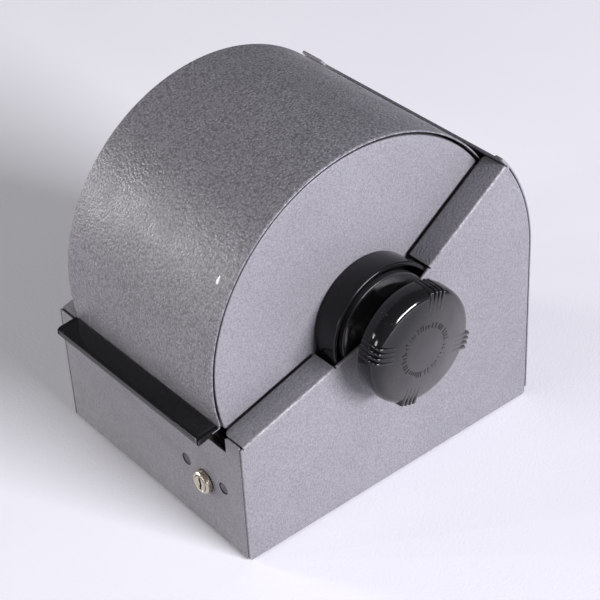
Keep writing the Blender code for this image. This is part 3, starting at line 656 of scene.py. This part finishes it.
def make_side(side, sign):
    """A side panel: both top edges turned in, cut round the collar, and slotted for the knob's neck."""
    clearance = collar_high.z - DRUM.z + 1.5 * MM
    neck = 9.5 * MM + 2.6 * MM
    flat_part = 14.6 * MM - FOLD
    wrap = FOLD * pi / 2
    relief = 0.9 * MM

    def spot(line, along, across):
        start, run, up = line
        place = start + run * along + up * (across - FOLD)
        return (place.x, place.y)

    def flange(line, first, last, round_far, round_near):
        return [(*spot(line, first, 0), 0), (*spot(line, first, wrap + flat_part), round_far),
                (*spot(line, last, wrap + flat_part), round_near), (*spot(line, last, 0), 0)]

    front_end = where_circle_cuts(FRONT_EDGE, clearance)
    rear_end = where_circle_cuts(REAR_EDGE, clearance)
    front_start, rear_start = SHEET + SEAM, 2.6 * MM
    back = AXIS_DEPTH + REAR_RADIUS
    top_angle = atan2(REAR_CORNER[1] - AXIS_HEIGHT, REAR_CORNER[0] - AXIS_DEPTH)

    left_wall, right_wall = AXIS_DEPTH - neck, AXIS_DEPTH + neck
    front_lip = (left_wall - FRONT_EDGE[0].x) / FRONT_EDGE[1].x
    rear_lip = (right_wall - REAR_EDGE[0].x) / REAR_EDGE[1].x
    inset = THIN + 0.75 * MM
    corners = [(0, 0, BEND), (back - inset, 0, BEND)]
    corners += [(*base_polar(REAR_RADIUS - inset, top_angle * i / 30), 0) for i in range(29)]
    corners += [(*spot(REAR_EDGE, 0.2 * MM, FOLD), 1.6 * MM)]
    corners += [(*spot(REAR_EDGE, rear_start - relief, across), 0) for across in (FOLD, 0)]
    corners += flange(REAR_EDGE, rear_start, rear_end, 2.5 * MM, 0.6 * MM)
    corners += [(*spot(REAR_EDGE, rear_end + relief, 0), 0)]
    corners += [(*spot(REAR_EDGE, rear_end + relief, FOLD), 0.3 * MM)]
    corners += [(*spot(REAR_EDGE, rear_lip, FOLD), 1.0 * MM)]
    corners += [(y, z, 0) for y, z in arc(neck, 0, -pi, 24, (AXIS_DEPTH, AXIS_HEIGHT))]
    corners += [(*spot(FRONT_EDGE, front_lip, FOLD), 1.0 * MM)]
    corners += [(*spot(FRONT_EDGE, front_end + relief, FOLD), 0.3 * MM)]
    corners += [(*spot(FRONT_EDGE, front_end + relief, 0), 0)]
    corners += reversed(flange(FRONT_EDGE, front_start, front_end, 2.5 * MM, 0.6 * MM))
    corners += [(*spot(FRONT_EDGE, front_start - relief * 0.6, 0), 0)]
    corners += [(*spot(FRONT_EDGE, front_start - relief * 0.6, FOLD * 0.7), 0.2 * MM)]
    corners += [(0, CORNER_TOP - FOLD * 0.6, 0.3 * MM)]
    work = pattern(rounded(corners))
    for line in (FRONT_EDGE, REAR_EDGE):
        crease(work, [spot(line, 0, wrap * i / 8) for i in range(9)], line[1])

    def beyond(y, z):
        """The turned edge that a point of the blank belongs to, and how far it lies past the fold's start."""
        for line, first, last in ((FRONT_EDGE, front_start, front_end), (REAR_EDGE, rear_start, rear_end)):
            start, along, up = line
            gap = Vector((y, z)) - start
            across = gap.dot(up) + FOLD
            if across > 10 * MERGE and first - 0.1 * MM < gap.dot(along) < last + 0.1 * MM:
                return line, gap.dot(along), across
        return None

    def rubbed(co):
        found = beyond(co.x, co.y)
        return max(0.0, 1 - abs(found[2] - wrap * 0.5) / (wrap * 0.3)) if found else 0.0

    paint(work, "wear", rubbed)

    def place(y, z):
        found = beyond(y, z)
        if not found:
            return Vector((sign * HALF_BODY, *base_place(y, z))), Vector((sign, 0, 0))
        (start, along, up), run, across = found
        angle = min(across / FOLD, pi / 2)
        rest = max(across - wrap, 0)
        spot_up = start + along * run + up * (FOLD * sin(angle) - FOLD)
        inward = FOLD * (1 - cos(angle)) + rest
        normal = Vector((sign * cos(angle), *(up * sin(angle))))
        return Vector((sign * (HALF_BODY - inward), *base_place(spot_up.x, spot_up.y))), normal

    mesh = bent(work, place, 0.22 * MM, one_thickness(SHEET))
    finish_piece(f"{side}_side_with_turned_edges", mesh, "base", enamel, [f"{side}_side_panel"])


def make_shell():
    """The rolled cover, bent out at the front into the lip that carries the pull strip."""
    reach = strip_low.y - DRUM.y + 1.3 * MM
    profile = arc(COVER_RADIUS, COVER_REAR, COVER_FRONT, 110)
    lip = [(-COVER_RADIUS - 1.6 * MM, LIP_LEVEL, 0), (reach, LIP_LEVEL - 0.8 * MM, 1.3 * MM)]
    lip += [(reach, LIP_LEVEL - 4.6 * MM, 0)]
    ends = rounded([(*profile[-2], 0), (*profile[-1], 1.2 * MM), *lip], 4)
    profile = profile[:-1] + ends[1:]
    sheet = Bend(profile)
    total = sheet.lengths[-1]
    curl, turn = 1.3 * MM, 1.1
    straight = HALF_COVER - curl * sin(turn)
    half = straight + curl * turn
    lip_start, tucked = total - 10.5 * MM, HALF_COVER - 1.5 * MM
    outline = [(-half, 0, 3 * MM), (half, 0, 3 * MM), (half, lip_start, 1 * MM)]
    outline += [(tucked, lip_start, 0.3 * MM), (tucked, total, 1 * MM)]
    outline += [(-tucked, total, 1 * MM), (-tucked, lip_start, 0.3 * MM), (-half, lip_start, 1 * MM)]
    work = pattern(rounded(outline))
    crease(work, [(0, v) for v in sheet.creases()], (1, 0))
    crease(work, [(sign * (straight + curl * turn * k / 5), 0) for sign in (-1, 1) for k in range(5)], (0, 1))
    chip_at = Vector((half - 10 * MM, COVER_RADIUS * (radians(146.2) - COVER_REAR), 0))
    crease(work, [(chip_at.x + step * MM, 0) for step in (-2, 0, 2)], (0, 1))

    def chipped(co):
        gap = co - chip_at
        return max(0.0, 1.4 - hypot(gap.x / 1.6, gap.y / 3.4) / MM)

    paint(work, "wear", lambda co: max(0.0, 1 - (half - abs(co.x)) / (0.6 * MM)) * 0.1)
    paint(work, "chip", chipped)

    def place(x, length):
        """The shell's two ends are rolled in a little, except at the lip."""
        spot, normal = sheet.at(length)
        kept = clamped((lip_start - length) / (5 * MM))
        angle = max(abs(x) - straight, 0) / curl * kept
        if angle:
            side = x / abs(x)
            x = side * (straight + curl * sin(angle) / kept)
            spot = spot - normal * curl * (1 - cos(angle))
            normal = Vector((side * sin(angle), *(normal * cos(angle))))
        else:
            normal = Vector((0, *normal))
        return Vector((max(-HALF_COVER, min(HALF_COVER, x)), DRUM.y + spot.x, DRUM.z + spot.y)), normal

    mesh = bent(work, place, 0.2 * MM, one_thickness(THIN))
    finish_piece("rolled_cover_shell", mesh, "cover", cover_enamel, ["cover_shell"])


def make_disc(side, sign):
    """A sector-shaped end disc, its round edge pressed over and tucked under the shell."""
    rear, front = radians(33.6), radians(197)
    reach = COVER_RADIUS - THIN - 1.6 * MM
    face = HALF_COVER - 0.6 * MM
    press = 0.9 * MM
    corner = 3.5 * MM
    hub = 12 * MM
    profile = [(hub, face)] + [(hub + (reach - press - hub) * i / 8, face) for i in range(1, 8)]
    turned = [pi / 2 * i / 8 for i in range(9)]
    profile += [(reach - press + press * sin(a), face - press + press * cos(a)) for a in turned]
    profile.append((reach, face - 7.5 * MM))
    near = [0, 0.15, 0.4, 0.8, 1.3, 1.8]
    sweep = degrees(front - rear)
    steps = near + [2.5 + (sweep - 5) * i / 72 for i in range(73)] + [sweep - a for a in reversed(near)]
    angles = [rear + radians(a) for a in steps]

    def drawn_in(radius, height, angle):
        """Rounds the two outer corners of the sector."""
        if radius < reach - press - 1e-6:
            return 0
        gap = min(angle - rear, front - angle) * reach
        if gap >= corner:
            return 0
        return -(corner - (corner ** 2 - (corner - gap) ** 2) ** 0.5)

    work = spun([(r, sign * x) for r, x in profile], angles, False, "x", (0, DRUM.y, DRUM.z), drawn_in)
    face_away(work, lambda co: Vector((sign, 0, 0)))

    def painted_seam_shade(co):
        """Painted shade: most on the wall that stands in the seam under the shell."""
        radius = hypot(co.y - DRUM.y, co.z - DRUM.z)
        return clamped((radius - reach + press * 0.5) / (press * 0.4))

    # Painted shade in the seam, stored for the enamel to read.
    paint(work, "painted_seam_shade", painted_seam_shade)
    flat = mesh_of(work, normals=False)
    mesh = modified(flat, thicken(SHEET), soften(0.2 * MM, 2, 60))
    finish_piece(f"{side}_pressed_end_disc", mesh, "cover", enamel, [f"{side}_end_disc"])


# ---------------- mouldings


def closed_profile(corners, steps=4):
    ring = rounded(corners, steps)
    return ring + ring[:1]


def about_drum(profile, count, sign):
    """A closed solid of revolution about the drum's axis, from (radius, distance along the axis) points."""
    profile = [(radius, sign * along) for radius, along in profile]
    return mesh_of(spun(profile, full_turn(count), True, "x", (0, DRUM.y, DRUM.z)))


def make_collar(side, sign):
    """The black cup round the axle, its mouth open to the side."""
    rim = collar_high.z - DRUM.z
    mouth, face = collar_high.x, HALF_COVER
    corners = [(rim - 2.0 * MM, mouth, 0.5 * MM), (rim, mouth, 0.8 * MM)]
    corners += [(rim - 1.2 * MM, face + 0.2 * MM, 0.2 * MM), (13.6 * MM, face + 0.2 * MM, 0.1 * MM)]
    corners += [(13.6 * MM, face - 3 * MM, 0.3 * MM), (6.9 * MM, face - 3 * MM, 0.3 * MM)]
    corners += [(6.9 * MM, face + 5.5 * MM, 0.3 * MM), (10 * MM, face + 5.5 * MM, 0.6 * MM)]
    corners += [(10 * MM, face + 2.6 * MM, 0.5 * MM), (rim - 3.4 * MM, face + 2.6 * MM, 1.2 * MM)]
    mesh = about_drum(closed_profile(corners), 112, sign)
    finish_piece(f"{side}_moulded_collar", mesh, "cover", matte_phenolic, [f"{side}_collar"])


def skinned(work, rows):
    """Closes a solid over a row of equal rings, with a face at each end."""
    count = len(rows[0])
    for row, other in zip(rows, rows[1:]):
        for i in range(count):
            work.faces.new((row[i], row[(i + 1) % count], other[(i + 1) % count], other[i]))
    work.faces.new(rows[0])
    work.faces.new(list(reversed(rows[-1])))


def through(points, steps):
    """A smooth curve through the points."""
    ends = [points[0]] + points + [points[-1]]
    curve = [points[0]]
    for a, b, c, d in zip(ends, ends[1:], ends[2:], ends[3:]):
        a, b, c, d = map(Vector, (a, b, c, d))
        for i in range(1, steps + 1):
            t = i / steps
            squared, cubed = 2 * a - 5 * b + 4 * c - d, 3 * b - a - 3 * c + d
            spot = 2 * b + (c - a) * t + squared * t * t + cubed * t ** 3
            curve.append(tuple(spot / 2))
    return curve


def fin(work, angle, shift, outline, width):
    """One grip fin on a knob: a flat plate beside a plane through the axis, with eased edges."""
    rows = []
    half_section = [(0.5, 0.45 * MM), (0.42, 0.16 * MM), (0.2, 0.0)]
    section = [(-offset, inset) for offset, inset in half_section] + half_section[::-1]
    for offset, inset in section:
        row = []
        for radius, height, out_r, out_x in outline:
            spot = Vector((height - out_x * inset, radius - out_r * inset, shift + offset * width))
            row.append(work.verts.new(Matrix.Rotation(angle, 3, "X") @ spot))
        rows.append(row)
    skinned(work, rows)


def make_knob(side, sign):
    """A spool-shaped knob: a domed cap with four groups of grip fins and a ring of marks, neck and skirt."""
    end = knob_high.x
    grip_radius, fin_pitch, fin_width = 31.2 * MM, 2.54 * MM, 1.45 * MM
    cap = [(0, 0.45), (9.5, 0.4), (15.5, 0.45), (20.5, 0.7), (26, 1.35), (28.7, 2.6), (30, 4.6)]
    cap += [(30.5, 7.4), (30.7, 11.6)]
    cap = [(radius * MM, end - depth * MM) for radius, depth in cap]
    under = [(30.7, 11.6, 0), (30.4, 14, 0.7), (27.2, 14.2, 0.6), (26.2, 13.2, 0.8), (14, 12.6, 3)]
    under += [(9.6, 16, 2.5), (9.5, 27.8, 2), (14, 30.1, 3), (21, 29.6, 4), (27.6, 27.3, 0.5)]
    under += [(27.6, 30.8, 0.6), (26, 32.1, 0.5), (8, 32.1, 0.4), (8, 35.5, 0.4), (4.4, 35.5, 0.3)]
    under += [(4.4, 8.5, 0), (0, 8.5, 0)]
    back = rounded([(radius * MM, end - depth * MM, ease * MM) for radius, depth, ease in under], 4)
    profile = through(cap, 4) + back[1:]
    work = spun([(r, x) for r, x in profile], full_turn(144))
    grips = [(31.2, 13.1, 1, 0), (31.2, 8, 1, 0), (31.1, 5, 1, 0), (30.85, 2.5, 1, 0)]
    grips += [(30.5, 1.6, 0.7, 0.7), (29.8, 1.15, 0, 1), (20.6, 0.5, 0, 1), (19.0, 1.0, 0, 0)]
    grips += [(27, 5, 0, 0), (27.6, 13.6, 0, -1), (30.7, 13.6, 0.3, -1)]
    for group in (-19.4, 70.6, 160.6, 250.6):
        for i in range(4):
            offset = (i - 1.5) * fin_pitch
            tuck = grip_radius - (grip_radius ** 2 - offset ** 2) ** 0.5
            outline = [(radius * MM - tuck, end - depth * MM, *outward) for radius, depth, *outward in grips]
            fin(work, radians(group), offset, outline, fin_width)
    marks = random.Random(7)
    angle = 0.0
    while angle < 350:
        wide = marks.choice((2.6, 3.4, 4.8))
        tall = marks.choice((2.9, 2.9, 1.9)) * MM
        raised_mark(work, radians(angle), radians(wide), 11.7 * MM, 11.7 * MM + tall, end)
        angle += wide + marks.choice((2.9, 3.4, 7.5))
    for vert in work.verts:
        vert.co = Vector((sign * vert.co.x, vert.co.y + DRUM.y, vert.co.z + DRUM.z))
    rest = DRUM + Vector((sign * end, 0, 0))

    def handled_and_sheen(co):
        """Painted reflection with some rubbing: most on the middle of the face, fading towards one side of
        it; and painted light, partly dust, on the front of the skirt.
        """
        gap = co - rest
        flat = clamped((3.2 * MM - abs(gap.x)) / (2.2 * MM))
        if 26.5 * MM < abs(gap.x) < 30.7 * MM and hypot(gap.y, gap.z) > 11 * MM:
            return 0.4
        return flat * clamped(0.5 + (gap.y - gap.z) / (60 * MM))

    # Painted reflection across the face and painted light on the skirt's front, partly real rubbing and dust.
    paint(work, "handled_and_sheen", handled_and_sheen)
    mesh = mesh_of(work)
    finish_piece(f"{side}_finned_knob", mesh, "wheel", phenolic, [f"{side}_knob"], 62)


def raised_mark(work, angle, width, inner, outer, end):
    """A small raised block on a knob's face, between two radii."""
    base, top = end - 0.8 * MM, end - 0.08 * MM
    lower, upper = [], []
    for radius, turn in ((inner, -1), (outer, -1), (outer, 1), (inner, 1)):
        a = angle + turn * width / 2
        lower.append(work.verts.new((base, radius * cos(a), radius * sin(a))))
        b = a - turn * width * 0.14
        r = radius + (0.12 * MM if radius == inner else -0.12 * MM)
        upper.append(work.verts.new((top, r * cos(b), r * sin(b))))
    work.faces.new(upper)
    work.faces.new(list(reversed(lower)))
    for i in range(4):
        work.faces.new((lower[i], lower[(i + 1) % 4], upper[(i + 1) % 4], upper[i]))


def make_strip():
    """The moulded pull strip over the cover's lip, its two ends a little proud and closed by walls."""
    top, rear = strip_high.z - DRUM.z, -COVER_RADIUS + 1.7 * MM
    front = strip_low.y - DRUM.y
    foot = top - 4.9 * MM
    lip_front = front + 1.3 * MM
    clear, proud = 0.38 * MM, 0.3 * MM
    corners = [(rear, top, 0.3 * MM), (front + 1.4 * MM, top - 0.95 * MM, 1.2 * MM)]
    corners += [(front, top - 1.9 * MM, 0.7 * MM), (front, foot, 0.35 * MM)]
    outer = len(corners)
    corners += [(lip_front - clear, foot, 0.25 * MM)]
    corners += [(lip_front - clear, LIP_LEVEL - 1.6 * MM + clear, 0.8 * MM)]
    corners += [(-COVER_RADIUS - 1.6 * MM, LIP_LEVEL + clear, 0.5 * MM)]
    corners += [(rear, LIP_LEVEL + clear + 0.35 * MM, 0.1 * MM)]
    section = rounded(corners, 4)
    half = HALF_COVER
    stations = [(-half, proud), (-half + 0.3 * MM, 0.0), (-half + 2.2 * MM, 0.0)]
    stations += [(-half + 2.5 * MM, proud), (-half + 3.1 * MM, proud)]
    stations += [(-x, inset) for x, inset in reversed(stations)]
    middle = Vector(((rear + front) / 2, top - 1.9 * MM))
    work = bmesh.new()
    rows = []
    for x, inset in stations:
        row = []
        for y, z in section:
            spot = Vector((y, z))
            pull = (middle - spot).normalized() * (inset if z > LIP_LEVEL - 2.5 * MM else 0)
            row.append(work.verts.new((x, DRUM.y + spot.x + pull.x, DRUM.z + spot.y + pull.y)))
        rows.append(row)
    skinned(work, rows)
    inside = [(lip_front + 1.2 * MM, foot, 0.4 * MM)]
    inside += [(-COVER_RADIUS - 1.9 * MM, LIP_LEVEL - 1.6 * MM, 0.8 * MM)]
    inside += [(rear, LIP_LEVEL - 1.1 * MM, 0.4 * MM)]
    wall = rounded(corners[:outer] + inside, 4)
    for sign in (-1, 1):
        ends = (half - 1.2 * MM, half - 0.25 * MM)
        skinned(work, [[work.verts.new((sign * x, DRUM.y + y, DRUM.z + z)) for y, z in wall] for x in ends])
    finish_piece("moulded_pull_strip", mesh_of(work), "cover", phenolic, ["handle_strip"], 40)


# ---------------- lock


def spun_at_lock(profile, count, middle):
    """A closed solid turned about a line along Y, from (radius, distance behind the front face) points."""
    return mesh_of(spun(profile, full_turn(count), True, "y", (middle.x, FRONT_Y, middle.z)))


def make_lock():
    """The lock's ring and threaded sleeve, the plug with its keyway, a near-black plate of painted shade just
    inside the keyway, and the two rivets beside it.
    """
    corners = [(4.35, -3.4, 0.3), (5.4, -3.45, 0.3), (6.1, -2.7, 0.4), (6.1, -0.35, 0.2)]
    corners += [(5.2, -0.35, 0), (5.2, 5, 0.2), (4.35, 5, 0.1)]
    mesh = spun_at_lock(closed_profile(in_mm(corners)), 64, LOCK)
    finish_piece("lock_ring_and_sleeve", mesh, "base", brass, ["lock_housing"])

    plug_radius, face, depth = 4.05 * MM, -3.5 * MM, 8 * MM
    ward = [(-0.75, 3.7, 0.2), (0.55, 3.7, 0.2), (0.95, 1.6, 0.4), (1.3, 0.3, 0.3), (1.3, -0.7, 0.3)]
    ward += [(0.85, -1.6, 0.3), (0.7, -3.7, 0.2), (-0.55, -3.7, 0.2), (-0.6, -1.4, 0.2)]
    ward += [(-0.15, -0.7, 0.2), (-0.15, 0.5, 0.2), (-0.8, 1.2, 0.2)]
    keyway = rounded(in_mm(ward), 2)
    # Painted shade: a near-black plate just behind the plug's face darkens the keyway, where shade falls.
    shade_plate = pattern(keyway)
    for vert in shade_plate.verts:
        vert.co = Vector((LOCK.x + vert.co.x * 1.1, FRONT_Y + face + 0.7 * MM, LOCK.z + vert.co.y * 1.04))
    mesh = modified(mesh_of(shade_plate), thicken(0.4 * MM))
    finish_piece("dark_keyway_shade_plate", mesh, "lock", keyway_shade_black)

    work = pattern(circle(0, 0, plug_radius, 56), [keyway])
    for vert in work.verts:
        sunk = 0.1 * MM if vert.co.length > plug_radius * 0.98 else 0
        vert.co = Vector((LOCK.x + vert.co.x, FRONT_Y + face + sunk, LOCK.z + vert.co.y))
    rims = [edge for edge in work.edges if edge.is_boundary]
    walls = bmesh.ops.extrude_edge_only(work, edges=rims)["geom"]
    for vert in [item for item in walls if isinstance(item, bmesh.types.BMVert)]:
        radius = hypot(vert.co.x - LOCK.x, vert.co.z - LOCK.z)
        vert.co.y = FRONT_Y + (7.2 * MM if radius > plug_radius * 0.98 else face + depth)
    floor = [edge for edge in work.edges if edge.is_boundary]
    bmesh.ops.holes_fill(work, edges=floor)
    finish_piece("lock_plug_with_keyway", mesh_of(work), "lock", brass, ["lock_plug"])

    for i in (1, 2):
        low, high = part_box(f"lock_rivet_{i}")
        middle = (low + high) / 2
        radius = (high.x - low.x) / 2
        corners = [(0, 0.62 * MM, 0), (radius * 0.45, 0.56 * MM, 0.5 * MM)]
        corners += [(radius * 0.8, 0.4 * MM, 0.4 * MM), (radius, 0.62 * MM, 0.2 * MM), (radius, 1.0 * MM, 0)]
        corners += in_mm([(1.55, 1.0, 0), (1.55, 2.85, 0), (2.6, 2.85, 0.2), (2.2, 3.6, 0.5), (0, 3.6, 0)])
        mesh = spun_at_lock(rounded(corners, 3), 40, middle)
        finish_piece(f"lock_rivet_head_{i}", mesh, "base", dark_steel, [f"lock_rivet_{i}"])


# ---------------- cards


def card_outline(top, tab=None):
    """One card seen flat, x across and y outward: notched over both rails, its top edge plain or tabbed."""
    half = card_high.x
    throat, slot = (1.3 * MM, 35.1 * MM), (2.1 * MM, 36.3 * MM)
    corners = [(-half, CARD_FOOT, 2 * MM)]
    for middle in (-RAIL_X, RAIL_X):
        left = [(throat[0], CARD_FOOT, 0.4 * MM), (*throat, 0.1 * MM)]
        left += [(slot[0], throat[1], 0.2 * MM), (*slot, 0.4 * MM)]
        corners += [(middle - x, y, ease) for x, y, ease in left]
        corners += [(middle + x, y, ease) for x, y, ease in reversed(left)]
    corners += [(half, CARD_FOOT, 2 * MM), (half, top, 2.5 * MM)]
    if tab:
        left, right = tab
        corners += [(right + 1.2 * MM, top, 0.8 * MM), (right - 0.4 * MM, TAB_TOP, 1.6 * MM)]
        corners += [(left + 0.4 * MM, TAB_TOP, 1.6 * MM), (left - 1.2 * MM, top, 0.8 * MM)]
    corners += [(-half, top, 2.5 * MM)]
    return rounded(corners, 3)


def card_mesh(outline, thickness):
    return modified(mesh_of(pattern(outline)), thicken(thickness, 0))


def make_cards():
    """Eight blocks of loose cards, fanned out radially, between eight tabbed guide cards."""
    sectors, per_block = 8, 22
    pitch = 2 * pi / sectors
    margin = 0.9 * MM / CARD_FOOT
    draw = random.Random(11)
    plain = [card_mesh(card_outline(CARD_TOP - step * 0.25 * MM), 0.26 * MM) for step in range(4)]
    tab_width, half = 17 * MM, card_high.x
    for block in range(sectors):
        work = bmesh.new()
        tints = work.verts.layers.float.new("sheet")
        rubbed = work.verts.layers.float.new("handled_and_sheen")
        for i in range(per_block):
            share = (i + 0.5 + draw.uniform(-0.25, 0.25)) / per_block
            angle = pitch * block + margin + (pitch - 2 * margin) * share
            start = len(work.verts)
            work.from_mesh(draw.choice(plain))
            work.verts.ensure_lookup_table()
            fresh = work.verts[start:]
            lean = draw.uniform(-0.25, 0.25) * MM
            tint = draw.random()
            for vert in fresh:
                vert[tints] = tint
                vert[rubbed] = clamped((vert.co.y - CARD_TOP + 6 * MM) / (6 * MM))
                vert.co.x += lean
            bmesh.ops.rotate(work, verts=fresh, cent=(0, 0, 0), matrix=Matrix.Rotation(angle, 3, "X"))
        bmesh.ops.translate(work, verts=work.verts, vec=(0, DRUM.y, DRUM.z))
        number = block + 1
        stands_for = [f"card_pack_{number}"]
        finish_piece(f"card_block_{number}", mesh_of(work), "wheel", card_stock, stands_for)

        tab_x = -half + 4 * MM + (block % 5) * (2 * half - 8 * MM - tab_width) / 4
        outline = card_outline(86.5 * MM, (tab_x + 1.2 * MM, tab_x + tab_width - 1.2 * MM))
        guide = card_mesh(outline, 0.75 * MM)
        guide.transform(Matrix.Translation((0, DRUM.y, DRUM.z)) @ Matrix.Rotation(pitch * block, 4, "X"))
        tint = guide.attributes.new("sheet", "FLOAT", "POINT")
        tint.data.foreach_set("value", [block / sectors] * len(guide.vertices))
        stands_for = [f"guide_card_{number}"]
        finish_piece(f"tabbed_guide_{number}", guide, "wheel", guide_stock, stands_for)


# ---------------- CAD nodes that stay


def finish_nodes():
    """Puts a detailed material on every CAD node that has no piece of its own."""
    looks = {"bearing_saddle": nylon, "rubber_foot": rubber, "cover_buffer": rubber, "lock_plate": zinc}
    looks |= {"lock_nut": zinc, "axle": steel, "core_drum": zinc, "knob_screw": dark_steel, "rail": steel}
    looks |= {"hub": nylon, "spacer": steel, "lock_catch": zinc, "lock_cam": zinc, "cam_screw": dark_steel}
    for name, node in frame["nodes"].items():
        for word, finish in looks.items():
            if word in name:
                for slot in node.material_slots:
                    slot.material = finish


# ---------------- stage


def make_floor_piece():
    work = bmesh.new()
    bmesh.ops.create_grid(work, x_segments=24, y_segments=24, size=6)
    mesh = mesh_of(work, "floor")
    mesh.materials.append(make_floor())
    placed("floor", mesh)


def soft_light(name, direction, distance, size, power, colour):
    """A rectangular light that looks at the middle of the object from a direction and a distance."""
    data = bpy.data.lights.new(name, "AREA")
    data.shape = "RECTANGLE"
    data.size, data.size_y = size
    data.energy = power
    data.color = colour
    made = placed(name, data)
    toward = Vector(direction).normalized()
    made.location = Vector((0, 0, 0.08)) + toward * distance
    made.rotation_euler = toward.to_track_quat("Z", "Y").to_euler()


def make_lights():
    world = bpy.data.worlds.new("studio")
    world.use_nodes = True
    backdrop = world.node_tree.nodes["Background"]
    backdrop.inputs["Color"].default_value = (0.93, 0.94, 1.0, 1)
    backdrop.inputs["Strength"].default_value = 0.18
    bpy.context.scene.world = world
    soft_light("window", (0.92, 0.17, 0.34), 3.5, (1.7, 0.56), 224, (0.97, 0.95, 1.05))
    soft_light("left_fill", (-0.84, -0.5, 0.17), 2.4, (0.45, 0.6), 24, WARM)
    soft_light("front_fill", (-0.12, -0.97, 0.22), 4.5, (1.2, 0.9), 42, WARM)
    soft_light("left_lamp_1", (-0.61, -0.76, 0.26), 4.5, (0.08, 1.0), 15, WARM)
    soft_light("left_lamp_2", (-0.48, -0.85, 0.26), 4.5, (0.08, 1.0), 15, WARM)
    bpy.context.scene.view_settings.view_transform = "Standard"


def make_camera():
    """Looks down on the object's front right corner through a long lens."""
    data = bpy.data.cameras.new("camera")
    data.sensor_width = 36
    data.lens = 110.71
    made = placed("camera", data)
    azimuth, elevation, roll = radians(52.13), radians(36.59), radians(-3.31)
    target, distance = Vector((-0.0014, 0.0107, 0.0661)), 0.95
    toward = Vector((sin(azimuth) * cos(elevation), -cos(azimuth) * cos(elevation), sin(elevation)))
    made.location = target + toward * distance
    turn = toward.to_track_quat("Z", "Y").to_matrix() @ Matrix.Rotation(roll, 3, "Z")
    made.rotation_euler = turn.to_euler()
    bpy.context.scene.camera = made


make_camera()
make_lights()
make_floor_piece()
make_wrapper()
make_shell()
for side, sign in (("right", 1), ("left", -1)):
    make_side(side, sign)
    make_disc(side, sign)
    make_collar(side, sign)
    make_knob(side, sign)
make_strip()
make_lock()
make_cards()
finish_nodes()
